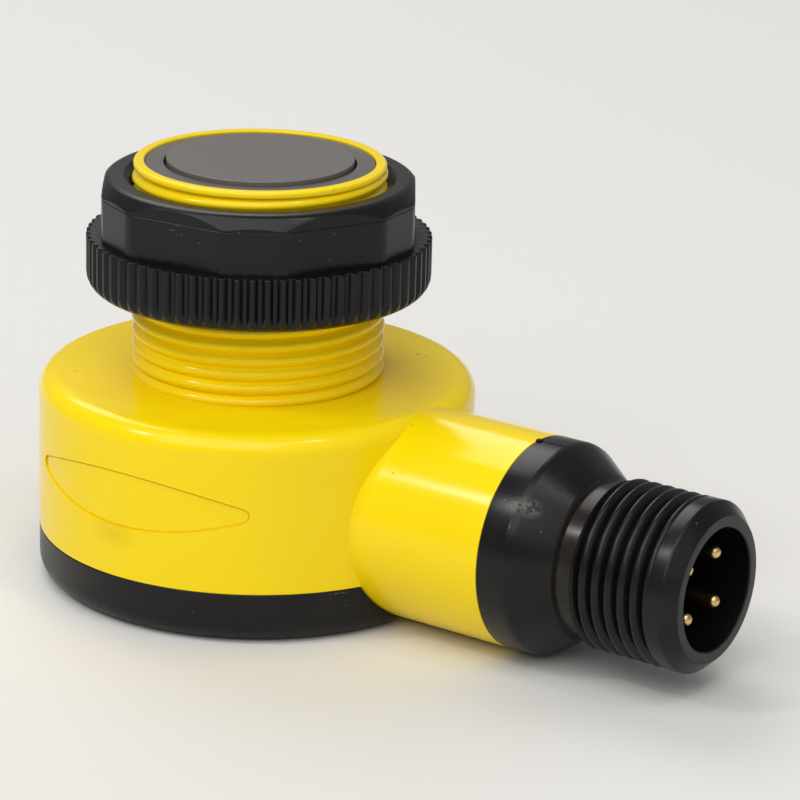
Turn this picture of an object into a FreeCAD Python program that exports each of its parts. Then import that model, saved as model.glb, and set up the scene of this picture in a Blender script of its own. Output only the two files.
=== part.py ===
import FreeCAD, Part
import math
import os
import re
import Sketcher

# Through-beam photoelectric sensor, emitter half: a round puck that carries a threaded
# nose with a jam nut on it, and a side neck that ends in a four-pin plug connector.
# Lengths are millimetres. The origin is on the nose's axis at the puck's underside,
# +Z runs up the nose and +X runs out along the connector.

SIZES = [
    ("puck_radius", 15.5, "outside of the round housing"),
    ("puck_height", 15.0, "underside to the housing's flat top"),
    ("puck_edge_round", 1.4, "rounding of the top edge"),
    ("puck_wall", 1.9, "side wall"),
    ("puck_roof", 1.8, "wall under the flat top"),
    ("ledge_width", 1.0, "inner ledge that the main board is clamped against"),
    ("cover_height", 3.7, "height of the black cover's rim"),
    ("cover_floor", 1.6, "thickness of the cover's floor"),
    ("cover_edge_round", 0.5, "rounding of the cover's lower edge"),
    ("cover_slot", 3.0, "half width of the cover's slot under the neck"),
    ("spigot_wall", 1.35, "wall of the cover's ring inside the housing"),
    ("spigot_height", 2.3, "height of that ring above the rim"),
    ("snap_depth", 0.2, "height of the snap bead on the ring"),
    ("fit_gap", 0.05, "gap between parts that push together"),
    ("neck_radius", 7.45, "outside of the side neck"),
    ("neck_lift", 0.05, "neck above the underside"),
    ("neck_wall", 1.2, "wall of the neck"),
    ("neck_bury", 2.9, "neck's wall inside the housing's outside"),
    ("neck_reach", 8.6, "how far the yellow neck stands out of the housing"),
    ("bore_bury", 5.7, "neck's bore inside the housing's outside"),
    ("nose_radius", 8.95, "crest of the nose's M18 x 1 thread"),
    ("nose_top", 30.25, "top of the lip around the face"),
    ("nose_edge_round", 0.3, "rounding of the lip"),
    ("nose_wall", 1.75, "wall of the nose, from the thread's crest to its bore"),
    ("lip_wall", 0.86, "lip around the face, from the thread's crest"),
    ("face_recess", 0.15, "bezel below the lip"),
    ("bezel_thickness", 1.25, "ring that holds the window down"),
    ("bezel_width", 1.49, "width of that ring"),
    ("window_raise", 0.3, "window above the bezel"),
    ("window_flange", 0.6, "flange of the window under the bezel"),
    ("gasket_thickness", 0.65, "flat seal under the window"),
    ("gasket_overlap", 0.6, "flat seal under the window's raised disc"),
    ("leaf_half_width", 8.9, "leaf-shaped field on the housing's side"),
    ("leaf_half_height", 1.85, "half height of that field"),
    ("leaf_tip_round", 0.45, "rounding of its two tips"),
    ("leaf_depth", 0.15, "how far it is let into the wall"),
    ("leaf_middle", 9.37, "height of its middle line"),
    ("nut_bottom", 21.1, "underside of the jam nut as it stands in the photograph"),
    ("nut_height", 8.1, "whole height of the nut"),
    ("nut_flange_height", 3.95, "height of its ribbed flange"),
    ("nut_flange_width", 3.2, "flange over the ribs, from the thread's crest"),
    ("nut_flange_round", 1.2, "rounding of the flange's lower edge"),
    ("nut_flat_wall", 1.9, "wide faces of the hexagon, from the thread's crest"),
    ("nut_corner_wall", 2.375, "cut corners of the hexagon, from the thread's crest"),
    ("nut_face_width", 1.25, "flat top ring, from the thread's crest"),
    ("nut_chamfer_slope", 38.5, "slope of the top chamfer in degrees"),
    ("nut_bore_gap", 0.05, "running gap on the nose's thread"),
    ("nut_mouth_width", 0.55, "chamfer of the bore's mouths"),
    ("nut_turn", -54.6, "how far the nut is screwed round, in degrees"),
    ("rib_count", 72, "ribs around the flange"),
    ("rib_depth", 0.35, "depth of the gaps between ribs"),
    ("rib_gap_width", 0.45, "width of the gaps between ribs"),
    ("insert_length", 6.5, "connector shell inside the neck"),
    ("step_depth", 2.1, "step in the shell's bore behind the neck's end, where the contact carrier stops"),
    ("insert_wall", 1.15, "shell's wall behind that step"),
    ("seal_setback", 1.7, "seal groove's rear side behind the neck's end"),
    ("seal_wire", 0.4, "radius of the round seal's section"),
    ("collar_length", 2.3, "shell's collar outside the neck"),
    ("cone_length", 2.5, "cone between the collar and the relief"),
    ("cone_tip_radius", 5.75, "radius there"),
    ("undercut_radius", 5.35, "relief between the cone and the thread"),
    ("undercut_length", 1.3, "cone to where the thread starts to rise from the relief"),
    ("plug_thread_radius", 5.94, "crest of the connector's M12 x 1 thread"),
    ("plug_thread_length", 7.3, "relief to the end chamfer"),
    ("plug_chamfer", 0.9, "length of the end chamfer"),
    ("plug_face_radius", 5.06, "outside of the end face"),
    ("socket_radius", 4.26, "inside of the connector's shroud"),
    ("socket_depth", 8.9, "front of the contact carrier behind the end face"),
    ("key_width", 1.2, "coding key inside the shroud"),
    ("key_depth", 0.75, "how far the key stands out from the wall"),
    ("key_setback", 1.5, "key's end behind the end face"),
    ("carrier_setback", 1.0, "contact carrier's rear face inside the shell's rear end"),
    ("pin_radius", 0.5, "contact pins"),
    ("pin_circle", 2.54, "radius of the circle that the pins stand on"),
    ("pin_turn", 3.4, "turn of the pin pattern about the connector's axis, in degrees"),
    ("tip_setback", 0.9, "pins' round tips behind the end face"),
    ("tail_length", 2.8, "pins behind the contact carrier, with their solder cups"),
    ("pin_collar_radius", 0.8, "collar that locks a pin in the carrier"),
    ("cup_radius", 0.62, "outside of the solder cups"),
    ("cup_depth", 1.2, "depth of the solder cups"),
    ("wire_radius", 0.4, "insulated lead wires"),
    ("pad_inset", 2.8, "lead wires' ends inside the main board's edge"),
    ("wire_slack", 0.5, "straight lead wire behind a cup"),
    ("pad_spread", 2.4, "lead wires' distance from the middle on the board"),
    ("board_gap", 0.4, "main board to the housing's wall"),
    ("board_thickness", 1.6, "main board"),
    ("small_board_thickness", 1.0, "emitter board"),
    ("small_board_gap", 0.2, "emitter board to the nose's bore"),
    ("tube_gap", 0.1, "lens tube to the nose's bore"),
    ("tube_lift", 1.75, "lens tube's end above the inside of the housing's top"),
    ("optic_length", 12.65, "lens tube's length that the next heights of the optics belong to"),
    ("tube_skirt_height", 1.15, "skirt under the tube's floor"),
    ("tube_skirt_wall", 0.9, "wall of that skirt"),
    ("tube_floor", 1.2, "floor of the tube, with the emitter's hole"),
    ("lens_margin", 1.0, "focusing lens inside the nose's bore"),
    ("lens_seat_depth", 3.2, "lens seat below the tube's top"),
    ("lens_edge", 1.0, "thickness of the lens at its edge"),
    ("lens_front_rise", 1.9, "height of the lens's front dome"),
    ("lens_back_rise", 1.3, "height of the lens's rear dome"),
    ("lens_ledge", 0.6, "width of the ledge that the lens rests on"),
    ("emitter_radius", 1.5, "round body of the infrared diode"),
    ("emitter_flange_radius", 1.9, "flange of the diode"),
    ("emitter_flange_height", 1.0, "height of that flange"),
    ("emitter_height", 5.3, "diode from the board to its tip"),
    ("lead_radius", 0.25, "diode's leads"),
    ("lead_pitch", 2.54, "spacing of the diode's leads"),
    ("pin_pitch", 2.0, "pitch of the header's pins"),
    ("header_share", 0.472, "header's distance from the nose's axis, as a share of the nose's bore"),
    ("header_width", 2.5, "header block across"),
    ("header_height", 2.5, "header block's height"),
    ("header_pin_radius", 0.32, "header's pins"),
    ("hole_gap", 0.08, "gap around pins in the boards"),
    ("pin_stub", 0.5, "pins past a board's far face"),
    ("chip_length", 4.9, "driver chip's package"),
    ("chip_width", 3.9, "driver chip across"),
    ("chip_height", 1.45, "top of the driver chip above the board"),
    ("chip_lift", 0.15, "package above the board"),
    ("chip_pitch", 1.27, "pitch of its legs"),
    ("chip_x_share", 0.19, "driver chip's middle, as a share of the main board's radius"),
    ("chip_y_share", -0.56, "driver chip's middle, as a share of the main board's radius"),
    ("leg_reach", 1.05, "how far a leg stands out"),
    ("leg_thickness", 0.2, "sheet thickness of the legs"),
    ("leg_width", 0.42, "width of a leg"),
    ("regulator_length", 6.5, "voltage regulator's package"),
    ("regulator_width", 3.5, "voltage regulator across"),
    ("regulator_height", 1.6, "top of the regulator above the board"),
    ("regulator_pitch", 2.3, "pitch of its legs"),
    ("regulator_tab", 3.0, "width of its heat tab"),
    ("regulator_x_share", 0.18, "voltage regulator's middle, as such a share"),
    ("regulator_y_share", 0.545, "voltage regulator's middle, as such a share"),
    ("can_radius", 2.5, "filter capacitor's can"),
    ("can_headroom", 1.0, "can below the inside of the housing's top"),
    ("can_base", 5.3, "side of its square base"),
    ("can_base_height", 0.8, "height of that base"),
    ("can_x_share", 0.265, "filter capacitor's middle, as such a share"),
    ("diode_length", 4.3, "protection diode's package"),
    ("diode_width", 2.6, "protection diode across"),
    ("diode_height", 2.2, "top of the diode above the board"),
    ("diode_tab", 1.5, "width of its end tabs"),
    ("diode_x_share", -0.6, "protection diode's middle, as such a share"),
    ("diode_y_share", -0.2, "protection diode's middle, as such a share"),
]

# Sizes that follow from those above, kept as formulas in the same sheet
RELATIONS = [
    ("neck_height", "neck_radius + neck_lift", "height of the neck's axis"),
    ("neck_bore", "neck_radius - neck_wall", "bore of the neck"),
    ("neck_root", "puck_radius - neck_bury", "where the neck's wall starts inside the housing"),
    ("neck_end", "puck_radius + neck_reach", "end face of the yellow neck"),
    ("bore_start", "puck_radius - bore_bury", "where the neck's bore opens into the housing"),
    ("nose_bore", "nose_radius - nose_wall", "bore of the nose"),
    ("face_radius", "nose_radius - lip_wall", "seat of the face parts in the nose"),
    ("window_radius", "face_radius - bezel_width", "raised disc of the window"),
    ("gasket_bore", "window_radius - gasket_overlap", "hole of the flat seal"),
    ("nut_flange_radius", "nose_radius + nut_flange_width", "flange over the ribs"),
    ("nut_across_flats", "2 * (nose_radius + nut_flat_wall)", "hexagon across its wide faces"),
    ("nut_across_corners", "2 * (nose_radius + nut_corner_wall)", "hexagon across its cut corners"),
    ("nut_face_radius", "nose_radius + nut_face_width", "where the top chamfer starts"),
    ("nut_mouth_radius", "nose_radius + nut_bore_gap + nut_mouth_width", "mouth of the nut's bore"),
    ("insert_start", "neck_end - insert_length", "rear end of the connector shell"),
    ("insert_step", "neck_end - step_depth", "step in the shell's bore"),
    ("insert_bore", "neck_bore - insert_wall", "shell's bore behind that step"),
    ("seal_start", "neck_end - seal_setback", "near side of the shell's seal groove"),
    ("collar_end", "neck_end + collar_length", "where the shell's collar turns into its cone"),
    ("cone_end", "collar_end + cone_length", "small end of the cone"),
    ("undercut_end", "cone_end + undercut_length", "where the thread starts to rise"),
    ("plug_thread_end", "undercut_end + plug_thread_length", "where the end chamfer starts"),
    ("plug_end", "plug_thread_end + plug_chamfer", "end face of the connector"),
    ("socket_floor", "plug_end - socket_depth", "front of the contact carrier"),
    ("carrier_start", "insert_start + carrier_setback", "rear face of the contact carrier"),
    ("pin_tip", "plug_end - tip_setback", "end of the pins' round tips"),
    ("pin_tail", "carrier_start - tail_length", "end of the pins' solder cups"),
    ("board_radius", "puck_radius - puck_wall - board_gap", "main board"),
    ("pad_reach", "board_radius - pad_inset", "where the lead wires end on the main board"),
    ("lens_radius", "nose_bore - lens_margin", "focusing lens"),
    ("header_place", "nose_bore * header_share", "header's distance from the nose's axis"),
]

NAMES = [name for name, value, meaning in SIZES + RELATIONS]

# Heights and radii that follow from the driving sizes
CAVITY_RADIUS = "(puck_radius - puck_wall)"
LEDGE_RADIUS = f"({CAVITY_RADIUS} - ledge_width)"
SPIGOT_RADIUS = f"({CAVITY_RADIUS} - fit_gap)"
SPIGOT_TOP = "(cover_height + spigot_height)"
BOARD_TOP = f"({SPIGOT_TOP} + board_thickness)"
LEDGE_HEIGHT = f"({BOARD_TOP} + fit_gap)"
ROOF_HEIGHT = "(puck_height - puck_roof)"
SNAP_HEIGHT = f"(cover_height + spigot_height / 2)"
BEZEL_TOP = "(nose_top - face_recess)"
BEZEL_BOTTOM = f"({BEZEL_TOP} - bezel_thickness)"
WINDOW_BOTTOM = f"({BEZEL_BOTTOM} - window_flange)"
SEAT_HEIGHT = f"({WINDOW_BOTTOM} - gasket_thickness)"
TUBE_RADIUS = "(nose_bore - tube_gap)"
TUBE_BOTTOM = f"({ROOF_HEIGHT} + tube_lift)"
OPTIC_SCALE = f"(({SEAT_HEIGHT} - {TUBE_BOTTOM}) / optic_length)"
TUBE_FLOOR_LOW = f"({TUBE_BOTTOM} + tube_skirt_height * {OPTIC_SCALE})"
TUBE_FLOOR_HIGH = f"({TUBE_FLOOR_LOW} + tube_floor * {OPTIC_SCALE})"
LENS_SEAT = f"({SEAT_HEIGHT} - lens_seat_depth * {OPTIC_SCALE})"
LENS_EDGE_TOP = f"({LENS_SEAT} + lens_edge * {OPTIC_SCALE})"
LENS_FRONT_RISE = f"(lens_front_rise * {OPTIC_SCALE})"
LENS_BACK_RISE = f"(lens_back_rise * {OPTIC_SCALE})"
SMALL_BOARD_BOTTOM = f"({TUBE_BOTTOM} - small_board_thickness)"
NUT_FLANGE_TOP = "(nut_bottom + nut_flange_height)"
NUT_TOP = "(nut_bottom + nut_height)"
NUT_BORE = "(nose_radius + nut_bore_gap)"
INSERT_RADIUS = "(neck_bore - fit_gap)"
SEAL_FLOOR = "(neck_bore - 2 * seal_wire)"
CARRIER_RADIUS = "(socket_radius - fit_gap)"
CARRIER_REAR_RADIUS = "(insert_bore - fit_gap)"

doc = FreeCAD.newDocument("PhotoelectricSensor")
sheet = doc.addObject("Spreadsheet::Sheet", "Sizes")
for row, (name, value, meaning) in enumerate(SIZES + RELATIONS, start=1):
    sheet.set(f"A{row}", name)
    sheet.set(f"B{row}", f"={value}" if isinstance(value, str) else str(value))
    sheet.set(f"C{row}", meaning)
    sheet.setAlias(f"B{row}", name)
doc.recompute()


def bound(text):
    """The expression with every driving size read from the sheet."""
    return re.sub(r"[a-z_]+", lambda word: f"Sizes.{word[0]}" if word[0] in NAMES else word[0], text)


def number(text):
    """The expression's present value."""
    return float(sheet.evalExpression(bound(text)))


def tie(target, path, text):
    """Binds one property of an object to the sheet."""
    target.setExpression(path, bound(text))


def new_body(label):
    body = doc.addObject("PartDesign::Body", label)
    body.Label = label
    return body


def new_sketch(body, name, role, offset="0"):
    """A sketch on one of the body's own planes, moved along its normal by offset."""
    sketch = body.newObject("Sketcher::SketchObject", name)
    plane = next(item for item in body.Origin.OriginFeatures if item.Role == role)
    sketch.AttachmentSupport = [(plane, "")]
    sketch.MapMode = "FlatFace"
    sketch.AttachmentOffset = FreeCAD.Placement(FreeCAD.Vector(0, 0, number(offset)), FreeCAD.Rotation())
    if offset != "0":
        tie(sketch, "AttachmentOffset.Base.z", offset)
    return sketch


def hold(sketch, constraint, text):
    """Adds a size constraint and binds it to the sheet."""
    index = sketch.addConstraint(constraint)
    tie(sketch, f"Constraints[{index}]", text)


def hold_point(sketch, line, end, across, up):
    """Fixes a point of the sketch by its two coordinates."""
    if across == "0":
        sketch.addConstraint(Sketcher.Constraint("PointOnObject", line, end, -2))
    else:
        hold(sketch, Sketcher.Constraint("DistanceX", line, end, number(across)), across)
    if up == "0":
        sketch.addConstraint(Sketcher.Constraint("PointOnObject", line, end, -1))
    else:
        hold(sketch, Sketcher.Constraint("DistanceY", line, end, number(up)), up)


def arc_between(start, end, radius, turn):
    """Arc from start to end, its centre on the left (turn 1) or the right (turn -1) of the way."""
    middle = (start + end) * 0.5
    way = end - start
    reach = max(radius ** 2 - (way.Length / 2) ** 2, 0.0) ** 0.5
    side = FreeCAD.Vector(-way.y, way.x, 0).normalize() * (reach * turn)
    centre = middle + side
    first, last = (start, end) if turn > 0 else (end, start)
    circle = Part.Circle(centre, FreeCAD.Vector(0, 0, 1), radius)
    return Part.ArcOfCircle(circle, circle.parameter(first), circle.parameter(last))


def outline(sketch, corners):
    """Closed outline through the corners. A corner is (across, up), and a corner with a
    radius and a turn starts an arc: turn 1 keeps the arc's centre on the left, -1 on the right."""
    points = [FreeCAD.Vector(number(corner[0]), number(corner[1]), 0) for corner in corners]
    ends = []
    for index, corner in enumerate(corners):
        start = points[index]
        end = points[(index + 1) % len(points)]
        if len(corner) == 2:
            line = sketch.addGeometry(Part.LineSegment(start, end))
            ends.append((line, 1, 2))
            continue
        radius, turn = corner[2], corner[3]
        line = sketch.addGeometry(arc_between(start, end, number(radius), turn))
        ends.append((line, 1, 2) if turn > 0 else (line, 2, 1))
    for index, (line, start, end) in enumerate(ends):
        following, first, last = ends[(index + 1) % len(ends)]
        sketch.addConstraint(Sketcher.Constraint("Coincident", line, end, following, first))
    for corner, (line, start, end) in zip(corners, ends):
        hold_point(sketch, line, start, corner[0], corner[1])
        if len(corner) == 4:
            hold(sketch, Sketcher.Constraint("Radius", line, number(corner[2])), corner[2])


def circle(sketch, across, up, radius):
    """Circle of the sketch, held by its centre and radius."""
    centre = FreeCAD.Vector(number(across), number(up), 0)
    line = sketch.addGeometry(Part.Circle(centre, FreeCAD.Vector(0, 0, 1), number(radius)))
    hold_point(sketch, line, 3, across, up)
    hold(sketch, Sketcher.Constraint("Radius", line, number(radius)), radius)


def rectangle(sketch, low_across, low_up, high_across, high_up):
    outline(sketch, [
        (low_across, low_up),
        (high_across, low_up),
        (high_across, high_up),
        (low_across, high_up),
    ])


def turned(body, name, corners, kind="PartDesign::Revolution"):
    """Turns an outline of (radius, height) corners about the body's own upright axis."""
    sketch = new_sketch(body, f"{name}_profile", "XZ_Plane")
    outline(sketch, corners)
    feature = body.newObject(kind, name)
    feature.Profile = sketch
    feature.ReferenceAxis = (sketch, ["V_Axis"])
    feature.Angle = 360
    return feature


def raised(body, name, sketch, length, kind="PartDesign::Pad", back=False):
    """Pads or pockets a sketch by length, along its normal unless back is set."""
    feature = body.newObject(kind, name)
    feature.Profile = sketch
    feature.Length = number(length)
    feature.Reversed = back
    tie(feature, "Length", length)
    return feature


def cut(body, name, sketch, length, back=False):
    """A pocket runs against its sketch's normal, so here back means along it."""
    return raised(body, name, sketch, length, "PartDesign::Pocket", back)


def around(body, name, feature, count):
    """Repeats a feature about the body's upright axis."""
    pattern = body.newObject("PartDesign::PolarPattern", name)
    pattern.Originals = [feature]
    axis = next(item for item in body.Origin.OriginFeatures if item.Role == "Z_Axis")
    pattern.Axis = (axis, [""])
    pattern.Angle = 360
    pattern.Occurrences = int(number(count))
    tie(pattern, "Occurrences", count)
    body.Tip = pattern
    return pattern


def lay_along_connector(item, across="0", up="0"):
    """Turns an upright piece to point out along +X on the connector's axis."""
    item.Placement = FreeCAD.Placement(
        FreeCAD.Vector(0, number(across), number(f"neck_height + {up}")),
        FreeCAD.Rotation(FreeCAD.Vector(0, 1, 0), 90),
    )
    tie(item, "Placement.Base.y", across)
    tie(item, "Placement.Base.z", f"neck_height + {up}")


def pin_place(index):
    """Place of a contact across (+Y) and up (+Z) from the connector's axis."""
    angle = f"(pin_turn + {45 + 90 * index})"
    return f"(pin_circle * cos{angle})", f"(pin_circle * sin{angle})"


# Housing: puck, nose and neck in one moulding


def make_housing():
    body = new_body("housing_moulding")
    turned(body, "puck_and_nose", [
        (CAVITY_RADIUS, "cover_height"),
        ("puck_radius", "cover_height"),
        ("puck_radius", "puck_height - puck_edge_round", "puck_edge_round", 1),
        ("puck_radius - puck_edge_round", "puck_height"),
        ("nose_radius", "puck_height"),
        ("nose_radius", "nose_top - nose_edge_round", "nose_edge_round", 1),
        ("nose_radius - nose_edge_round", "nose_top"),
        ("face_radius", "nose_top"),
        ("face_radius", SEAT_HEIGHT),
        ("nose_bore", SEAT_HEIGHT),
        ("nose_bore", ROOF_HEIGHT),
        (LEDGE_RADIUS, ROOF_HEIGHT),
        (LEDGE_RADIUS, LEDGE_HEIGHT),
        (CAVITY_RADIUS, LEDGE_HEIGHT),
        (CAVITY_RADIUS, f"{SNAP_HEIGHT} + 1.5 * snap_depth"),
        (f"{CAVITY_RADIUS} + snap_depth", SNAP_HEIGHT),
        (CAVITY_RADIUS, f"{SNAP_HEIGHT} - 1.5 * snap_depth"),
    ])
    neck = new_sketch(body, "neck_section", "YZ_Plane", "neck_root")
    circle(neck, "0", "neck_height", "neck_radius")
    raised(body, "neck", neck, "neck_end - neck_root")
    bore = new_sketch(body, "bore_section", "YZ_Plane", "bore_start")
    circle(bore, "0", "neck_height", "neck_bore")
    cut(body, "neck_bore", bore, "neck_end - bore_start", back=True)

    # The leaf field is let into the round wall by the same depth all along
    reach = "(leaf_half_width - leaf_tip_round)"
    rise = "(leaf_half_height - leaf_tip_round)"
    arc = f"(({reach} ^ 2 + leaf_half_height ^ 2 - leaf_tip_round ^ 2) / (2 * {rise}))"
    join_x = f"({reach} * {arc} / ({arc} - leaf_tip_round))"
    join_z = f"(({arc} - leaf_half_height) * leaf_tip_round / ({arc} - leaf_tip_round))"
    leaf = doc.addObject("Sketcher::SketchObject", "leaf_outline")
    leaf.Placement = FreeCAD.Placement(FreeCAD.Vector(), FreeCAD.Rotation(FreeCAD.Vector(1, 0, 0), 90))
    outline(leaf, [
        (join_x, f"leaf_middle + {join_z}", arc, 1),
        (f"-{join_x}", f"leaf_middle + {join_z}", "leaf_tip_round", 1),
        (f"-{join_x}", f"leaf_middle - {join_z}", arc, 1),
        (join_x, f"leaf_middle - {join_z}", "leaf_tip_round", 1),
    ])
    prism = doc.addObject("Part::Extrusion", "leaf_prism")
    prism.Base = leaf
    prism.DirMode = "Normal"
    prism.Solid = True
    tie(prism, "LengthFwd", "puck_radius + 1")
    core = doc.addObject("Part::Cylinder", "leaf_floor")
    tie(core, "Radius", "puck_radius - leaf_depth")
    tie(core, "Height", "puck_height")
    field = doc.addObject("Part::Cut", "leaf_field")
    field.Base = prism
    field.Tool = core
    housing = doc.addObject("Part::Cut", "housing")
    housing.Base = body
    housing.Tool = field
    return housing


def make_base_cover():
    """Black cover: a dished floor whose rim is flush with the housing and whose ring snaps inside it."""
    body = new_body("base_cover")
    inner = f"({SPIGOT_RADIUS} - spigot_wall)"
    turned(body, "dish", [
        ("0", "0"),
        ("puck_radius - cover_edge_round", "0", "cover_edge_round", 1),
        ("puck_radius", "cover_edge_round"),
        ("puck_radius", "cover_height"),
        (SPIGOT_RADIUS, "cover_height"),
        (SPIGOT_RADIUS, f"{SNAP_HEIGHT} - snap_depth"),
        (f"{SPIGOT_RADIUS} + snap_depth", SNAP_HEIGHT),
        (SPIGOT_RADIUS, f"{SNAP_HEIGHT} + snap_depth"),
        (SPIGOT_RADIUS, SPIGOT_TOP),
        (inner, SPIGOT_TOP),
        (inner, "cover_floor"),
        ("0", "cover_floor"),
    ])
    saddle = new_sketch(body, "saddle_section", "YZ_Plane", "neck_root - fit_gap")
    circle(saddle, "0", "neck_height", "neck_radius + 2 * fit_gap")
    cut(body, "neck_saddle", saddle, "puck_radius", back=True)
    # The neck reaches down to the underside, so the rim is open below it
    slot = new_sketch(body, "slot_section", "YZ_Plane", "neck_root - fit_gap")
    rectangle(slot, "-cover_slot", "-fit_gap", "cover_slot", "cover_floor")
    cut(body, "neck_slot", slot, "puck_radius", back=True)
    passage = new_sketch(body, "passage_section", "YZ_Plane", "bore_start - 1")
    circle(passage, "0", "neck_height", "neck_bore")
    cut(body, "wire_passage", passage, "puck_radius", back=True)
    return body


# Face and optics


def make_window_bezel():
    body = new_body("window_bezel")
    turned(body, "ring", [
        ("window_radius + fit_gap", BEZEL_BOTTOM),
        ("face_radius - fit_gap", BEZEL_BOTTOM),
        ("face_radius - fit_gap", BEZEL_TOP),
        ("window_radius + fit_gap", BEZEL_TOP),
    ])
    return body


def make_lens_window():
    body = new_body("lens_window")
    turned(body, "disc", [
        ("0", WINDOW_BOTTOM),
        ("face_radius - fit_gap", WINDOW_BOTTOM),
        ("face_radius - fit_gap", BEZEL_BOTTOM),
        ("window_radius", BEZEL_BOTTOM),
        ("window_radius", f"{BEZEL_TOP} + window_raise"),
        ("0", f"{BEZEL_TOP} + window_raise"),
    ])
    return body


def make_window_seal():
    body = new_body("window_seal")
    turned(body, "gasket", [
        ("gasket_bore", SEAT_HEIGHT),
        ("face_radius - fit_gap", SEAT_HEIGHT),
        ("face_radius - fit_gap", WINDOW_BOTTOM),
        ("gasket_bore", WINDOW_BOTTOM),
    ])
    return body


def make_lens_tube():
    """Black tube: a ledge for the lens above a cone that widens from the emitter's hole."""
    body = new_body("lens_tube")
    seat = "(lens_radius + fit_gap)"
    skirt = f"({TUBE_RADIUS} - tube_skirt_wall)"
    hole = "(emitter_radius + 2 * fit_gap)"
    turned(body, "tube", [
        (TUBE_RADIUS, TUBE_BOTTOM),
        (TUBE_RADIUS, SEAT_HEIGHT),
        (seat, SEAT_HEIGHT),
        (seat, LENS_SEAT),
        (f"{seat} - lens_ledge", LENS_SEAT),
        (f"{hole} + lens_ledge", TUBE_FLOOR_HIGH),
        (hole, TUBE_FLOOR_HIGH),
        (hole, TUBE_FLOOR_LOW),
        (skirt, TUBE_FLOOR_LOW),
        (skirt, TUBE_BOTTOM),
    ])
    return body


def make_focus_lens():
    """Lens with a dome on both sides of a short cylindrical edge."""
    body = new_body("focus_lens")
    front_arc = f"((lens_radius ^ 2 + {LENS_FRONT_RISE} ^ 2) / (2 * {LENS_FRONT_RISE}))"
    back_radius = "(lens_radius - lens_ledge)"
    back_arc = f"(({back_radius} ^ 2 + {LENS_BACK_RISE} ^ 2) / (2 * {LENS_BACK_RISE}))"
    turned(body, "lens", [
        ("0", f"{LENS_SEAT} - {LENS_BACK_RISE}", back_arc, 1),
        (back_radius, LENS_SEAT),
        ("lens_radius", LENS_SEAT),
        ("lens_radius", LENS_EDGE_TOP, front_arc, 1),
        ("0", f"{LENS_EDGE_TOP} + {LENS_FRONT_RISE}"),
    ])
    return body


def make_emitter_diode():
    """Infrared diode: flange, round body with a dome, and two leads through the board."""
    body = new_body("emitter_diode")
    flange_top = f"({TUBE_BOTTOM} + emitter_flange_height * {OPTIC_SCALE})"
    tip = f"({TUBE_BOTTOM} + emitter_height * {OPTIC_SCALE})"
    turned(body, "bulb", [
        ("0", TUBE_BOTTOM),
        ("emitter_flange_radius", TUBE_BOTTOM),
        ("emitter_flange_radius", flange_top),
        ("emitter_radius", flange_top),
        ("emitter_radius", f"{tip} - emitter_radius", "emitter_radius", 1),
        ("0", tip),
    ])
    leads = new_sketch(body, "leads_section", "XY_Plane", f"{TUBE_BOTTOM} + lead_radius")
    for side in ("", "-"):
        circle(leads, "0", f"{side}lead_pitch / 2", "lead_radius")
    raised(body, "leads", leads, "small_board_thickness + lead_radius + pin_stub", back=True)
    return body


# Circuit boards and the pieces soldered to them


def header_pins(sketch, radius):
    for step in (-1.5, -0.5, 0.5, 1.5):
        circle(sketch, "-header_place", f"{step} * pin_pitch", radius)


def make_emitter_board():
    body = new_body("emitter_board")
    disc = new_sketch(body, "disc_section", "XY_Plane", SMALL_BOARD_BOTTOM)
    circle(disc, "0", "0", "nose_bore - small_board_gap")
    header_pins(disc, "header_pin_radius + hole_gap")
    for side in ("", "-"):
        circle(disc, "0", f"{side}lead_pitch / 2", "lead_radius + hole_gap")
    raised(body, "disc", disc, "small_board_thickness")
    return body


def make_board_header():
    """Pin header that stands on the main board and carries the emitter board."""
    body = new_body("board_header")
    block = new_sketch(body, "block_section", "XY_Plane", BOARD_TOP)
    near = "-(header_place - header_width / 2)"
    far = "-(header_place + header_width / 2)"
    rectangle(block, far, "-2 * pin_pitch", near, "2 * pin_pitch")
    raised(body, "block", block, "header_height")
    foot = f"({SPIGOT_TOP} - pin_stub)"
    pins = new_sketch(body, "pins_section", "XY_Plane", foot)
    header_pins(pins, "header_pin_radius")
    raised(body, "pins", pins, f"{TUBE_BOTTOM} + pin_stub - {foot}")
    return body


def make_main_board():
    body = new_body("main_board")
    disc = new_sketch(body, "disc_section", "XY_Plane", SPIGOT_TOP)
    circle(disc, "0", "0", "board_radius")
    header_pins(disc, "header_pin_radius + hole_gap")
    raised(body, "disc", disc, "board_thickness")
    return body


def leg_outline(sketch, side, inner, lift):
    """Z-shaped leg: out of the package, down and flat on the board. side is 1 or -1."""
    middle = f"({inner} + leg_reach / 2)"
    corners = [
        (inner, lift),
        (f"{middle} + leg_thickness / 2", lift),
        (f"{middle} + leg_thickness / 2", f"{BOARD_TOP} + leg_thickness"),
        (f"{inner} + leg_reach", f"{BOARD_TOP} + leg_thickness"),
        (f"{inner} + leg_reach", BOARD_TOP),
        (f"{middle} - leg_thickness / 2", BOARD_TOP),
        (f"{middle} - leg_thickness / 2", f"{lift} - leg_thickness"),
        (inner, f"{lift} - leg_thickness"),
    ]
    if side < 0:
        corners = [(f"-({across})", up) for across, up in reversed(corners)]
    outline(sketch, corners)


def place_on_board(item, share_x, share_y="0"):
    tie(item, "Placement.Base.x", f"board_radius * {share_x}")
    tie(item, "Placement.Base.y", f"board_radius * {share_y}")


def package(body, length, width, height, lift="chip_lift"):
    """Moulded block that stands a little off the board on its legs."""
    section = new_sketch(body, "package_section", "XY_Plane", f"{BOARD_TOP} + {lift}")
    rectangle(section, f"-{length} / 2", f"-{width} / 2", f"{length} / 2", f"{width} / 2")
    return raised(body, "package", section, f"{height} - {lift}")


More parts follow.
